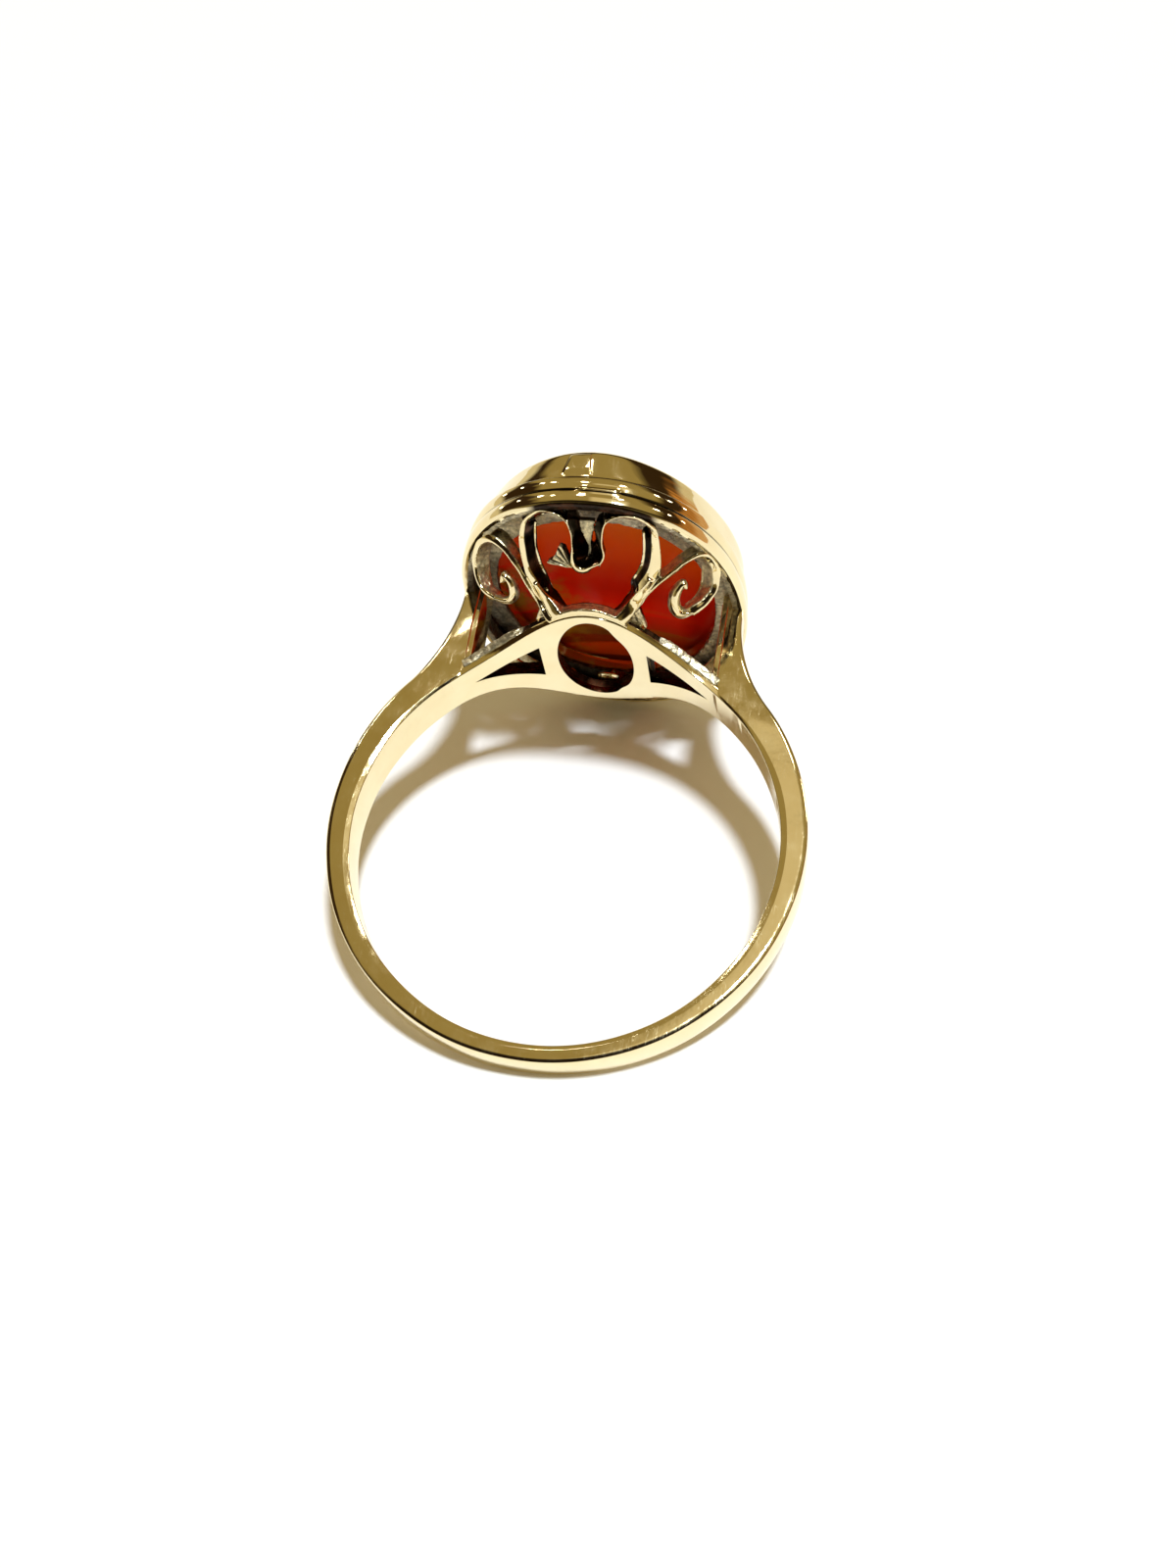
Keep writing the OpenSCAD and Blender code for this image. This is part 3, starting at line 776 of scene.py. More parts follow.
def leaf_at(a, b):
    """Turn and share of the leaf, a along its outline and b from its base."""
    edge = curve_through(LEAF, 12)
    k = a * (len(edge) - 1)
    out = [np.interp(k, np.arange(len(edge)), edge[:, i]) for i in (0, 1)]
    return tuple(base + (o - base) * b for base, o in zip(LEAF_BASE, out))


def ribs(a, edge):
    """Ribs that fan out from the leaf's base, 0 in the grooves. A lower edge narrows the grooves."""
    return np.abs(np.sin(a * math.pi * 4.5)) ** edge


def leaf_depth(a, b):
    """The ribbed leaf, with a thicker upright lobe."""
    return 0.17 - 0.12 * ribs(a, 0.5) * smoothstep(b, 0.0, 0.3) + 0.1 * (1 - a) * b


def pocket_half(share):
    """Half the opening between the two walls of the pocket, as a share of its width."""
    below = 0.5 - (share - 0.51) / 0.19 * 0.3
    above = 0.2 - (share - 0.7) / 0.25 * 0.1
    return np.where(share < 0.7, below, above).clip(0.08, 0.5)


def pocket_at(a, b):
    """The skin between the loops: turn and share, a from left to right and b upwards."""
    m = np.minimum(a, 1 - a)
    top = np.where(m > 0.2, 0.51 + (0.5 - m) / 0.3 * 0.19, 0.7 + (0.2 - m) / 0.1 * 0.25).clip(max=0.95)
    share = 0.36 + 0.05 * a + (top - 0.36 - 0.05 * a) * b
    left = -6.4 - 2.0 * hump((share - 0.45) / 0.08)
    right = 7.0 + 2.2 * hump((share - 0.53) / 0.08)
    return left + (right - left) * a, share


def pocket_depth(a, b):
    share = pocket_at(a, b)[1]
    return 0.04 + 0.78 * np.minimum(np.minimum(a, 1 - a) / pocket_half(share), 1) ** 0.8


def tip_at(a, b):
    """The pale tip under the ledge, between the pocket's walls."""
    return -0.6 + (a - 0.5) * (0.8 + 5.4 * b), 0.42 + 0.36 * b


def patch(corner_at, deep_at, thick, n=18):
    """A skin of metal: corner_at gives turn in degrees and share, deep_at how far it lies under the flare."""
    a, b = np.meshgrid(np.linspace(0, 1, n), np.linspace(0, 1, n), indexing="ij")
    turn, share = corner_at(a, b)
    turn = np.radians(turn)
    base, out = flare(turn, share), flare_out(turn, share)
    deep = deep_at(a, b)[..., None]
    front, back = base - out * deep, base - out * (deep + thick)
    v = np.concatenate([front.reshape(-1, 3), back.reshape(-1, 3)])
    m = n * n
    f = grid_faces(n, n, wrap_cols=False)
    f += [tuple(m + i for i in face[::-1]) for face in f]
    edge = list(range(n)) + [i * n + n - 1 for i in range(1, n)]
    edge += [(n - 1) * n + i for i in range(n - 2, -1, -1)] + [i * n for i in range(n - 2, 0, -1)]
    for i, j in zip(edge, edge[1:] + edge[:1]):
        f.append((i, j, j + m, i + m))
    return v, f


# the leaf on the bottom of the loops: its base and its outline, as turn and share
LEAF_BASE = (-9.6, 0.385)
LEAF_CUTS = 46
LEAF = [
    (-19.2, 0.43), (-21.4, 0.475), (-18.6, 0.487), (-17, 0.52), (-15.6, 0.53), (-14.6, 0.575), (-13, 0.612),
    (-11.5, 0.59), (-10.7, 0.52),
]
# short tails on the plate, outside the feet of the loops
TAILS = [
    [(-36, -0.12, 0.08, 0.3, 0), (-30.5, -0.085, 0.17, 0.5, 0), (-25, -0.06, 0.28, 0.6, 0)],
    [(34, -0.11, 0.08, 0.3, 0), (29, -0.08, 0.15, 0.5, 0), (24, -0.06, 0.28, 0.6, 0)],
]


def fused(parts, voxel):
    """The parts as one skin, with their crossings run together as soldered metal. Sizes in millimetres."""
    verts, faces = join(parts)
    me = bpy.data.meshes.new("fuse")
    me.from_pydata(verts.tolist(), [], plain_faces(faces))
    tidy_normals(me)
    ob = place("fuse", me)
    mod = ob.modifiers.new("fuse", "REMESH")
    mod.mode = "VOXEL"
    mod.voxel_size = voxel
    mod = ob.modifiers.new("smooth", "SMOOTH")
    mod.factor, mod.iterations = 0.5, 2
    bpy.context.view_layer.update()
    done = ob.evaluated_get(bpy.context.evaluated_depsgraph_get())
    skin = done.to_mesh()
    out = np.empty(len(skin.vertices) * 3)
    skin.vertices.foreach_get("co", out)
    quads = [tuple(f.vertices) for f in skin.polygons]
    done.to_mesh_clear()
    bpy.data.objects.remove(ob)
    bpy.data.meshes.remove(me)
    return out.reshape(-1, 3), quads


def gallery_end(seed):
    """All the parts of the scrollwork at one end of the finger."""
    parts = [
        strand(LOOPS, seed=seed), strand(LOOPS[:4], FLAT, seed=seed), strand(LOOPS[-4:], FLAT, seed=seed),
        strand(BAR, FLAT, seed=seed + 3, uneven=0.012),
        strand(HOOK_LEFT[:14], seed=seed + 6), strand(HOOK_RIGHT[:14], seed=seed + 9),
        strand(HOOK_LEFT[12:], ROUNDED, seed=seed + 6, uneven=0.035),
        strand(HOOK_RIGHT[11:], ROUNDED, seed=seed + 9, uneven=0.035),
    ]
    parts += [strand(tail, cuts=12, seed=seed + 15, uneven=0.01) for tail in TAILS]
    parts.append(patch(pocket_at, pocket_depth, 0.35, 30))
    parts.append(patch(tip_at, lambda a, b: np.full(a.shape, 0.76), 0.25, 14))
    # solder webs between the tops of the loops and the rail
    for start, stop in ((-26.5, -8), (9, 27)):
        parts.append(
            patch(
                lambda a, b: (start + (stop - start) * a, 0.9 + 0.06 * np.sin(a * math.pi) + 0.09 * b),
                lambda a, b: 0.22 + 0.1 * np.sin(a * math.pi), 0.3,
            )
        )
    # and at the feet of the loops, outside them
    for way in (-1, 1):
        parts.append(
            patch(
                lambda a, b: (way * (24.5 + 10.5 * a + 1.5 * b), -0.08 + 0.33 * b * (1 - 0.75 * a)),
                lambda a, b: 0.2 + 0.05 * wobble(np.stack([a * 3, b * 3, a - a], -1), 0.8, seed + way), 0.35,
            )
        )
    return parts


def vertex_normals(v, quads):
    """Outward normals of a mesh of quads."""
    q = np.array([f if len(f) == 4 else (*f, f[-1]) for f in quads])
    n = np.cross(v[q[:, 2]] - v[q[:, 0]], v[q[:, 3]] - v[q[:, 1]])
    total = np.zeros_like(v)
    for k in range(4):
        np.add.at(total, q[:, k], n)
    return total / np.maximum(np.linalg.norm(total, axis=1), 1e-12)[:, None]


def under_face(v):
    """How far points lie under the flare, its outward direction there, the turn in degrees and the share."""
    tt, ss = np.meshgrid(np.radians(np.arange(-80, 80.5, 1)), np.arange(-0.3, 1.2, 0.02), indexing="ij")
    at, out = flare(tt, ss).reshape(-1, 3), flare_out(tt, ss).reshape(-1, 3)
    tree = kdtree.KDTree(len(at))
    for i, p in enumerate(at):
        tree.insert(p, i)
    tree.balance()
    near = np.array([tree.find(p)[1] for p in v])
    depth = ((at[near] - v) * out[near]).sum(1)
    return depth, out[near], np.degrees(tt.reshape(-1)[near]), ss.reshape(-1)[near]


def mark(ob, name, amount):
    """Writes how much of something each point of a piece has, for its material."""
    attr = ob.data.attributes.new(name, "FLOAT", "POINT")
    attr.data.foreach_set("value", np.clip(np.asarray(amount, float).reshape(-1), 0, 1).astype(np.float32))


# build the gold
h = hoop_mesh()
h = h + lumps(h, (3.2, 3.0, 2.7), 1) * 0.012
hoop = piece("hoop_and_arms", h, tube_faces(*h.shape[:2]), [WORN])

plate = flat_solid(
    "base_plate", [plate_outline(-0.02)] + plate_holes(0.0), BORE, BORE + 0.3, 0.035, POLISHED,
    (np.arange(-6.6, 6.61, 0.2),),
)
plate_top = flat_solid(
    "base_plate_cast_side", [plate_outline(0.03, 5.35, 0.3)] + plate_holes(-0.02),
    BORE + 0.28, PLATE_R, 0.05, CAST,
    (np.arange(-5.4, 5.41, 0.12), np.arange(-3.3, 3.31, 0.3), (-0.08, 0.0, 0.08)), 70, 0.018,
)

# sections of the rails: across and along the finger, and height
RA, RL = RAIL_A, RAIL_L
outside_rows = (
    (2 * EDGE, FOOT), (0.09, FOOT + 0.1), (0, FOOT + RAIL_H * 0.5), (0.08, GROOVE_Y - 0.08),
    (2 * GROOVE + 0.1, GROOVE_Y), (0.24, GROOVE_Y + 0.08), (0.12, GROOVE_Y + RAIL_H * 0.5),
    (0.21, RAIL_TOP - 0.07), (0.42, RAIL_TOP),
)
rail_rows = [(RA - less, RL - less, y) for less, y in outside_rows]
rail_rows += [
    (BEZEL_A - 0.2, BEZEL_L - 0.2, RAIL_TOP), (OPEN_A, OPEN_L, RAIL_TOP), (OPEN_A, OPEN_L, GROOVE_Y),
    (RA - 2 * RAIL_WALL, RL - 2 * RAIL_WALL, GROOVE_Y), (RA - 2 * RAIL_WALL, RL - 2 * RAIL_WALL, FOOT),
]
rail_radii = [0.06, 0.07, 0.3, 0.05, 0.02, 0.05, 0.3, 0.05, 0.05, 0.0, 0.08, 0.15, 0.1, 0.08]
all_round = np.linspace(-math.pi, math.pi, 420, endpoint=False)
rails_v, rails_f = oval_ring(finer(soften(rail_rows, rail_radii, 3), 0.16), all_round)
# the opening under the stone reaches a little further at the far end
rx, ry, rz = np.moveaxis(rails_v, -1, 0)
at_opening = fade(np.hypot(rx / OPEN_A, rz / OPEN_L), 0.5, 0.56)
rails_v[..., 2] -= 0.6 * at_opening * smoothstep(-rz, 1.0, 5.0)


def outward(v, across, along):
    """The outward direction on an oval."""
    return unit(np.stack([v[..., 0] / across**2, np.zeros(v.shape[:-1]), v[..., 2] / along**2], -1))


# solder fills the groove for a short way at the near end
shut = smoothstep(rx, -0.5, -0.25) * fade(rx, 1.2, 1.5) * (rz > 0)
outer = smoothstep(np.hypot(rx / RA, rz / RL), 0.455, 0.465)
fill = shut * outer * hump((ry - GROOVE_Y) / 0.1) * 0.15
rails_v = rails_v + outward(rails_v, RA, RL) * fill[..., None] + lumps(rails_v, (1.5, 1.65, 1.35), 11) * 0.006
# the inside is left as it was cast
rx, ry, rz = np.moveaxis(rails_v, -1, 0)
from_middle = np.abs(rx / (RA / 2 - 0.3)) ** FULLNESS + np.abs(rz / (RL / 2 - 0.3)) ** FULLNESS
inside = (ry < GROOVE_Y + 0.2) & (from_middle < 1.0)
rails_v = rails_v + inside[..., None] * lumps(rails_v, (0.4, 0.44, 0.36), 14) * 0.02
flat_inside = inside.reshape(-1)
rail_index = [1 if sum(flat_inside[list(f)]) >= 3 else 0 for f in rails_f]
rails = piece("rails_and_ledge", rails_v, rails_f, [POLISHED, CAST], rail_index)
# painted shade and painted dark reflection lie in the groove, on the foot of the near end, and on the ledge
# at the far end and the left
rx, ry, rz = np.moveaxis(rails_v, -1, 0)
groove = hump((ry - GROOVE_Y) / 0.07) * outer * (1 - 0.7 * shut)
foot = (rz > 4) * fade(np.abs(rx - 0.3), 1.9, 3.0) * (ry < FOOT + 0.06)
far_ledge = inside * smoothstep(-rz, 3.5, 5.0) * 0.6
left_ledge = inside * smoothstep(-rx, 3.9, 4.5) * fade(rz, 2.0, 4.0) * 0.5
mark(rails, "painted_shade", np.maximum.reduce([groove * 1.2, foot, far_ledge, left_ledge]))

# sections of the bezel: from its foot up the outside, over the turned edge and down the inside
inner, turned = -2 * BEZEL_WALL, -2 * LIP
bezel_rows = [
    (0.16, 0.16, RAIL_TOP - 0.05), (0.12, 0.12, RAIL_TOP + 0.1), (0.02, 0, RAIL_TOP + 0.24),
    (0.14, 0, RIM - 0.4), (0.12, -0.06, RIM - 0.16), (-0.2, -0.38, RIM),
    (inner + turned * 0.5, inner + turned * 0.5, RIM - 0.03), (inner + turned, inner + turned, RIM - 0.12),
    (inner + turned * 0.95, inner + turned * 0.95, RIM - 0.2), (inner, inner, RIM - BEZEL_WALL - LIP),
    (inner, inner, RAIL_TOP - 0.05),
]
bezel_rows = [(BEZEL_A + across, BEZEL_L + along, y) for across, along, y in bezel_rows]
bezel_radii = [0.04, 0.05, 0.06, 0.1, 0.12, 0.12, 0.12, 0.05, 0.05, 0.1, 0.04]
near_seam = np.radians(np.arange(-12, 1.5, 0.12))
beyond = (all_round < near_seam[0] - 0.005) | (all_round > near_seam[-1] + 0.005)
bezel_turns = np.sort(np.concatenate([all_round[beyond], near_seam]))
bezel_v, bezel_f = oval_ring(finer(soften(bezel_rows, bezel_radii, 4), 0.06), bezel_turns)
bx, by, bz = np.moveaxis(bezel_v, -1, 0)
turn = np.degrees(np.broadcast_to(bezel_turns[:, None], bx.shape))
# the bezel strip's end laps over its beginning
lean = -1.9 + 1.3 * (RIM - by)
lap = fade(turn, lean - 0.2, lean + 0.25) * smoothstep(turn, -11.5, -9.5)
lap *= smoothstep(np.hypot(bx / BEZEL_A, bz / BEZEL_L), 0.47, 0.48)
lap *= fade(by, RIM - 0.3, RIM - 0.22)
lap *= smoothstep(by, RAIL_TOP + 0.2, RAIL_TOP + 0.7)
uneven = lumps(bezel_v, (2.2, 2.42, 1.98), 31) * 0.008
bezel_v = bezel_v + outward(bezel_v, BEZEL_A, BEZEL_L) * (lap * 0.05)[..., None] + uneven
bezel = piece("bezel", bezel_v, bezel_f, [POLISHED])

gold_pieces = [hoop, plate, plate_top, rails, bezel]
for flip, label, seed in ((1, "near", 20), (-1, "far", 50)):
    v, f = fused(gallery_end(seed), voxel=0.045)
    # nothing reaches into the bore
    v[:, :2] *= np.maximum(1, (BORE + 0.06) / np.hypot(v[:, 0], v[:, 1]))[:, None]
    depth, out, turn, share = under_face(v)
    facing = (vertex_normals(v, f) * out).sum(1)
    # the strands' side walls get painted shade, standing in for a dark reflection, in the middle, and are
    # rough from the mould beyond it
    wall = smoothstep(np.abs(facing), 0.85, 0.6) * smoothstep(depth, 0.08, 0.15)
    wall *= fade(depth, 0.66, 0.72)
    middle = fade(np.abs(turn), 33, 36)
    low = fade(v[:, 1], 9.15, 9.6)
    dark = wall * middle * (1 - 0.8 * low)
    # the pocket between the loops and the webs under the rail get painted shade too
    hollow = smoothstep(depth, 0.06, 0.12) * smoothstep(share, 0.36, 0.4)
    hollow *= fade(np.abs(turn - 0.5), 8.2, 9.2)
    webs = smoothstep(depth, 0.12, 0.18) * smoothstep(share, 0.88, 0.93) * middle
    dark = np.maximum(dark, np.maximum(hollow, webs))
    tip = smoothstep(depth, 0.6, 0.7) * fade(depth, 0.84, 0.9) * (np.abs(facing) > 0.8)
    tip *= smoothstep(share, 0.42, 0.45) * fade(share, 0.76, 0.8)
    tip_half = 0.4 + 2.7 * smoothstep(share, 0.42, 0.78)
    tip *= fade(np.abs(turn + 0.6) - tip_half, -0.2, 0.4)
    dark *= 1 - tip
    # a paler band across the pocket's painted shade is a painted sheen
    bar = hump((share - 0.5 + 0.011 * (turn + 3)) / 0.022) * smoothstep(turn, -4.5, -3) * hollow
    dark -= 0.42 * bar
    rough = wall * (1 - middle) * 0.9 + low * (facing < 0.6) * 0.8
    rough += hump((np.abs(turn) - 30) / 4) * low * smoothstep(depth, 0.12, 0.2) + tip * 1.5
    leaf_v, leaf_f = patch(leaf_at, leaf_depth, 0.3, LEAF_CUTS)
    v, f = join([(v, f), (leaf_v, leaf_f)])
    ob = piece(f"gallery_{label}", v * [1, 1, flip], f, [SOLDERED], sharp=70, weighted=False)
    # the leaf gets painted shade in its grooves and on its back
    cut = np.linspace(0, 1, LEAF_CUTS)
    a, b = np.meshgrid(cut, cut, indexing="ij")
    grooves = (1 - ribs(a, 0.35)) * smoothstep(b, 0.1, 0.3) * 1.5
    mark(ob, "cast", np.concatenate([rough, np.full(len(leaf_v), 0.42)]))
    mark(ob, "painted_shade", np.concatenate([dark, grooves.reshape(-1), np.full(a.size, 0.8)]))
    gold_pieces.append(ob)

# the walls of the plate's holes get painted shade
for ob in (plate, plate_top):
    co, no = np.empty((2, len(ob.data.vertices) * 3))
    ob.data.vertices.foreach_get("co", co)
    ob.data.vertices.foreach_get("normal", no)
    co = co.reshape(-1, 3) * 1000
    ring_x = co[:, 0]
    ring_z = (co[:, 2] - LIFT) * math.cos(TILT) - (co[:, 1] - SHIFT) * math.sin(TILT)
    within = smoothstep(plate_half(ring_x) - np.abs(ring_z), 0.12, 0.2) * (np.abs(ring_x) < 5.0)
    aside = np.clip(ring_x / BORE, -1, 1)
    upward = np.sqrt(1 - aside**2)
    radial = np.c_[aside, upward * math.cos(TILT), upward * math.sin(TILT)]
    side_on = smoothstep(np.abs((no.reshape(-1, 3) * radial).sum(1)), 0.9, 0.75)
    mark(ob, "painted_shade", within * side_on)

for ob in gold_pieces:
    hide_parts("ring_mount")

# cameo

# the bust's outline and that of its hair, as shares of HEAD from the point FIGURE, and the bun's middle
BACK_HAIR = [
    (-0.66, 0.04), (-0.78, 0.06), (-0.94, 0.16), (-0.98, 0.33), (-0.9, 0.5), (-0.87, 0.7), (-0.76, 0.9),
    (-0.56, 1.04), (-0.32, 1.09), (-0.12, 1.02),
]
BUST = [
    (-0.02, 0.9), (0.02, 0.76), (0.025, 0.67), (0, 0.6), (0.045, 0.5), (0.11, 0.395), (0.095, 0.36),
    (0.03, 0.335), (0.052, 0.285), (0.03, 0.252), (0.046, 0.215), (0.01, 0.165), (0.032, 0.09),
    (-0.01, 0.01), (-0.16, -0.02), (-0.25, -0.08), (-0.27, -0.22), (-0.2, -0.34), (0, -0.48),
    (0.1, -0.6), (0.02, -0.74), (-0.25, -0.83), (-0.58, -0.78), (-0.84, -0.62), (-0.8, -0.46),
    (-0.68, -0.34), (-0.62, -0.15), *BACK_HAIR,
]
HAIR = [
    (-0.02, 0.9), (-0.1, 0.74), (-0.2, 0.62), (-0.34, 0.56), (-0.42, 0.42), (-0.44, 0.24),
    (-0.58, 0.1), *BACK_HAIR,
]
BUN = (-0.76, 0.3)
FIGURE = (HEAD * 0.42, -HEAD * 0.1)
# marks on the skin: height, then the middle and size of a spot, or the points and width of a line
SPOTS = [
    (0.05, (-0.2, 0.37), (0.12, 0.12)), (-0.07, (-0.085, 0.6), (0.07, 0.05)),
    (0.06, (-0.1, 0.585), (0.045, 0.022)), (0.05, (0.035, 0.4), (0.035, 0.03)),
    (0.035, (0.01, 0.31), (0.045, 0.02)), (0.035, (0.005, 0.255), (0.04, 0.02)),
    (0.03, (-0.02, 0.13), (0.06, 0.05)),
]
LINES = [
    (0.05, [(0.0, 0.66), (-0.08, 0.69), (-0.18, 0.66)], 0.022),
    (-0.035, [(-0.05, 0.585), (-0.1, 0.562), (-0.15, 0.585)], 0.01),
    (-0.04, [(0.02, 0.42), (-0.015, 0.4), (0.0, 0.365)], 0.01),
    (-0.05, [(0.04, 0.288), (0.0, 0.283), (-0.055, 0.292)], 0.01),
    (-0.03, [(-0.3, 0.0), (-0.42, -0.2), (-0.36, -0.4)], 0.03),
    (0.09, [(-0.45, 0.3), (-0.47, 0.22), (-0.44, 0.17)], 0.03),
]


def from_line(p, u, v):
    """Distance of points from the line between u and v."""
    d = v - u
    t = np.clip(((p - u) @ d) / (d @ d), 0, 1)
    return np.linalg.norm(p - u - t[..., None] * d, axis=-1)


def inward(p, table):
    """Distance from points to a smooth closed outline, positive inside."""
    o = curve_through(table, 5, closed=True)
    best = np.full(p.shape[:-1], 1e9)
    inside = np.zeros(p.shape[:-1], bool)
    for u, v in zip(o, np.roll(o, -1, 0)):
        best = np.minimum(best, from_line(p, u, v))
        if u[1] != v[1]:
            cross = (u[1] > p[..., 1]) != (v[1] > p[..., 1])
            at = u[0] + (v[0] - u[0]) * (p[..., 1] - u[1]) / (v[1] - u[1])
            inside ^= cross & (p[..., 0] < at)
    return np.where(inside, best, -best)


def swell(g):
    """A quarter round that rises from 0 to 1."""
    return np.sqrt(np.clip(1 - (1 - np.clip(g, 0, 1)) ** 2, 0, 1))


def spot_at(p, at, size):
    return np.exp(-((p[..., 0] - at[0]) ** 2) / size[0] ** 2 - (p[..., 1] - at[1]) ** 2 / size[1] ** 2)


def line_near(p, table, width):
    o = curve_through(table, 6)
    best = np.full(p.shape[:-1], 1e9)
    for u, v in zip(o[:-1], o[1:]):
        best = np.minimum(best, from_line(p, u, v))
    return hump(best / width)


def ripple(turns):
    return np.sin(2 * math.pi * turns)


def carving(x, z):
    """Height of the carving as a share of its full height, and its cream layer."""
    p = np.stack([(x - FIGURE[0]) / HEAD, (z - FIGURE[1]) / HEAD], -1)
    px, py = p[..., 0], p[..., 1]
    inside = inward(p, BUST)
    body = smoothstep(inside, -0.012, 0.03) * (0.55 + 0.45 * swell(inside / 0.22))
    face = smoothstep(py + 0.28 * px, -0.05, 0.04) * body
    hair = smoothstep(inward(p, HAIR), -0.012, 0.03)
    skin = body * (1 - hair)
    high = body * 0.52 + face * 0.14 + hair * 0.18
    for height, at, size in SPOTS:
        high += skin * height * spot_at(p, at, size)
    for height, table, width in LINES:
        high += skin * height * line_near(p, table, width)
    # waves and fine strands of hair, the coiled bun and the ribbon
    around = np.arctan2(py - 0.5, px + 0.2)
    far = np.hypot(px + 0.2, py - 0.5)
    strands = 0.035 * ripple(far / 0.085 + 0.25 * np.sin(around * 5))
    strands += 0.012 * ripple(far / 0.026 + 0.4 * np.sin(around * 4))
    bun_far = np.hypot(px - BUN[0], py - BUN[1])
    bun = smoothstep(0.15 - bun_far, -0.04, 0.06)
    coil = np.sin(2 * math.pi * (bun_far / 0.06) + np.arctan2(py - BUN[1], px - BUN[0]))
    high += hair * (1 - bun) * strands + bun * (0.12 + 0.03 * coil)
    high += hair * 0.07 * line_near(p, [(-0.08, 0.86), (-0.3, 0.83), (-0.55, 0.68), (-0.72, 0.5)], 0.026)
    # the draped cloth and its round clasp
    cloth = smoothstep(-0.4 - py + 0.12 * np.sin(px * 5), -0.02, 0.04) * body
    drape = ripple(np.hypot(px + 0.1, py - 0.9) / 0.12 + 0.3 * np.sin(px * 6))
    high += cloth * (0.05 + 0.045 * drape)
    high += 0.1 * smoothstep(0.07 - np.hypot(px + 0.62, py + 0.47), -0.02, 0.03)
    return high, smoothstep(inside, -0.006, 0.02)


def cameo_mesh():
    """Verts, faces, a material for each face, and how much cream layer each vert has."""
    across = BEZEL_A - 2 * BEZEL_WALL - 2 * GAP
    along = BEZEL_L - 2 * BEZEL_WALL - 2 * GAP
    foot = RAIL_TOP + GAP
    shoulder = RIM - BEZEL_WALL - LIP - 2 * GAP
    in_by = 2 * (LIP + 2 * GAP)
    # the front is a square grid squeezed into the oval, with its cuts closer together in the middle
    n = 200
    t = np.linspace(-1, 1, n + 1)
    t = t * (0.7 + 0.3 * t * t)
    a, b = np.meshgrid(t, t, indexing="ij")
    u, v = a * np.sqrt(1 - b * b / 2), b * np.sqrt(1 - a * a / 2)
    far = np.minimum(np.hypot(u, v), 1)
    full = slimness(RIM - 0.3)
    x, z = oval(np.arctan2(u, v), across - in_by, along - in_by, full)
    x, z = x * far, z * far
    high, cream = carving(x, z)
    y = RIM + CROWN * (1 - far * far) + RELIEF * high
    grid = np.stack([x, y, z], -1).reshape(-1, 3)
    m = n + 1
    edge = list(range(n)) + [i * m + n for i in range(n)] + [n * m + j for j in range(n, 0, -1)]
    edge += [i * m for i in range(n, 0, -1)]
    faces = grid_faces(m, m, wrap_cols=False)
    fronts = len(faces)
    verts = [grid]
    # the side and the hollow back are ovals that follow from the grid's edge, down to one point
    rim = grid[edge] * 2 / [across - in_by, 1, along - in_by]
    angle = np.arctan2(bulge(rim[:, 0], 4 / full), bulge(rim[:, 2], 4 / full))
    rounds = [(1.0, shoulder), (1.0, foot + 0.1), (0.985, foot)]
    rounds += [(s, foot + HOLLOW * (1 - s * s) * 0.98) for s in np.linspace(0.95, 0.05, 22)]
    first, count, last = len(grid), len(edge), edge
    for s, level in rounds:
        px, pz = oval(angle, across * s, along * s, slimness(level) if s == 1 else FULLNESS)
        verts.append(np.stack([px, np.full(count, level), pz], -1))
        now = list(range(first, first + count))
        for k in range(count):
            j = (k + 1) % count
            faces.append((last[k], last[j], now[j], now[k]))
        first, last = first + count, now
    verts.append(np.array([[0, foot + HOLLOW, 0]]))
    for k in range(count):
        faces.append((last[k], last[(k + 1) % count], first))
    index = [0] * fronts + [1] * (len(faces) - fronts)
    carve = np.concatenate([(high * cream).reshape(-1), np.zeros(first + 1 - len(grid))])
    return np.concatenate(verts), faces, index, carve


cv, cf, ci, carve = cameo_mesh()
cameo = piece("cameo_shell", cv, cf, [SHELL_FRONT, SHELL_BACK], ci, weighted=False)
attr = cameo.data.attributes.new("carve", "FLOAT", "POINT")
attr.data.foreach_set("value", carve.astype(np.float32))
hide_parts("cameo")

# floor, lights, camera
bpy.ops.mesh.primitive_plane_add(size=1.2, location=(0, 0, -0.00001))
floor = bpy.context.object
floor.name = "floor"
t = Nodes("floor_white")
t.shader((0.92, 0.92, 0.95), 0.6, t.bump(t.noise(0.8, 3.0), 0.1, 0.02))
floor.data.materials.append(t.mat)

# small lamps: azimuth, elevation, strength and angle
GLINTS = [
    (-59, 43, 0.1, 4), (-58, 54, 0.06, 3), (-37, 70, 0.1, 4), (36, 70, 0.16, 5),
    (60, 44, 0.1, 4), (61, 34, 0.05, 3), (-60, 25, 0.05, 3), (-57, 8, 0.05, 3), (59, 20, 0.05, 3),
]


def sun(name, azimuth, elevation, strength, angle, color=(1.0, 0.97, 0.92)):
    """A distant lamp. Azimuth 0 stands behind the head, 90 to its right."""
    light = bpy.data.lights.new(name, "SUN")
    light.energy = strength
    light.angle = math.radians(angle)
    light.color = color
    ob = place(name, light)
    az, el = math.radians(azimuth), math.radians(elevation)
    way = Vector((math.sin(az) * math.cos(el), math.cos(az) * math.cos(el), math.sin(el)))
    ob.rotation_euler = way.to_track_quat("Z", "Y").to_euler()
    return ob


# the lamp that throws the shadows, and small ones that only glint
sun("lamp_main", 133, 73, 3.0, 7.0, (0.95, 1.03, 1.08))
for number, way in enumerate(GLINTS):
    glint = sun(f"lamp_small_{number}", *way)
    glint.visible_diffuse = False

world = bpy.data.worlds.new("studio")
bpy.context.scene.world = world
world.use_nodes = True
world.node_tree.nodes.clear()


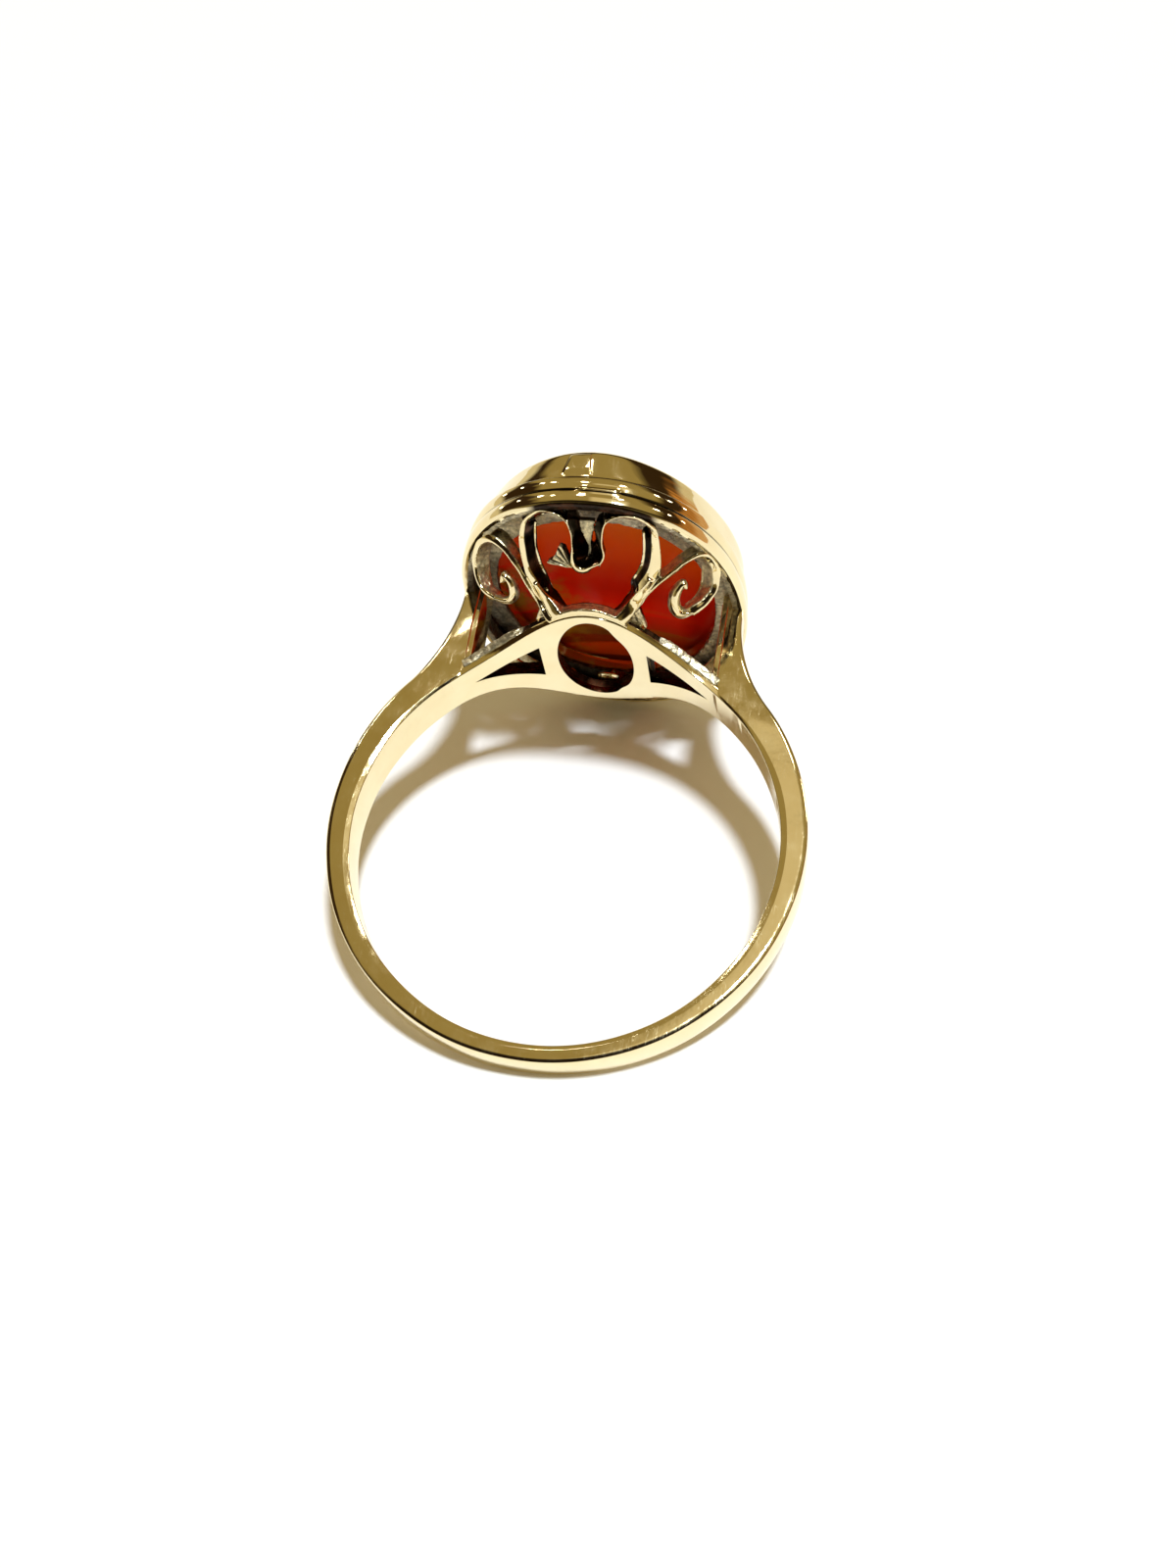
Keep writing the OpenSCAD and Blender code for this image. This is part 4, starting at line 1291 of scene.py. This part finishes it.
class WorldNodes(Nodes):
    """The same short way for the world."""

    def __init__(self, tree):
        self.tree = tree
        self.out = tree.nodes.new("ShaderNodeOutputWorld")
        self.coord = tree.nodes.new("ShaderNodeTexCoord").outputs["Generated"]


t = WorldNodes(world.node_tree)
xyz = t.add("ShaderNodeSeparateXYZ", {"Vector": t.coord})
x, y, z = (xyz.outputs[k] for k in "XYZ")
OLIVE, DARK_ROOM, CREAM_ROOM = (0.33, 0.245, 0.085), (0.035, 0.018, 0.006), (0.7, 0.6, 0.38)
ragged = t.times(t.math("SUBTRACT", t.noise(1000 / 3.0, 3.0), 0.5), 0.25)
# a cream low band, a dark wall round the room and an olive ceiling
bands = (
    (0.0, CREAM_ROOM), (0.1, CREAM_ROOM), (0.22, DARK_ROOM), (0.62, DARK_ROOM), (0.74, OLIVE), (1.0, OLIVE)
)
room = t.ramp(t.plus(z, ragged), bands)
# an olive panel on the left wall, a window's warm ribbed light on the right wall
side = t.plus(x, t.times(ragged, 0.4))
panel = t.times(t.span(side, -0.36, -0.4), t.span(side, -0.66, -0.62), t.span(z, 0.3, 0.4))
room = t.mix(panel, room, OLIVE)
ribbed = t.math("SINE", t.times(t.plus(x, t.times(y, -1.0)), 60.0))
warm = t.times(t.span(x, 0.5, 0.6), t.span(z, 0.42, 0.34), t.span(ribbed, -0.6, 0.6, 0.35, 1.0))
room = t.mix(warm, room, (0.62, 0.26, 0.06))
# a small pale panel overhead brightens the rails in the middle
overhead = t.times(
    t.span(y, 0.17, 0.1), t.span(z, 0.86, 0.9), t.span(x, -0.14, -0.08), t.span(x, 0.38, 0.3)
)
room = t.mix(overhead, room, (0.68, 0.56, 0.33))
# the one who looks on stands dark in front
front = t.times(t.span(y, -0.3, -0.45), t.span(z, -0.1, 0.05))
onlooker = t.ramp(z, ((0.0, (0.2, 0.15, 0.06)), (0.22, (0.12, 0.09, 0.03)), (0.34, (0.015, 0.009, 0.005))))
room = t.mix(front, room, onlooker)
# the room lights the floor evenly; its dark and bright walls show only as reflections
path = t.add("ShaderNodeLightPath")
room = t.mix(path.outputs["Is Diffuse Ray"], room, (0.4, 0.29, 0.12))
room = t.mix(path.outputs["Is Camera Ray"], room, (1.0, 1.0, 1.0))
back = t.add("ShaderNodeBackground", {"Color": room}, Strength=1.0)
t.tree.links.new(back.outputs[0], t.out.inputs["Surface"])

# the camera's place and turn were worked out from the photo's view of the round bore and the head's oval
camera_data = bpy.data.cameras.new("camera")
camera_data.sensor_fit = "VERTICAL"
camera_data.sensor_height = 36
camera_data.lens = 40.5
camera_data.clip_start = 0.001
camera = place("camera", camera_data)
right, up = (0.98257, 0.17743, -0.05535), (-0.08493, 0.69352, 0.71541)
behind = (0.16533, -0.69824, 0.69651)
turn_to = Matrix((right, up, behind)).transposed().to_4x4()
camera.matrix_world = Matrix.Translation((0.012609, -0.051597, 0.055663)) @ turn_to
bpy.context.scene.camera = camera
bpy.context.scene.view_settings.view_transform = "Standard"
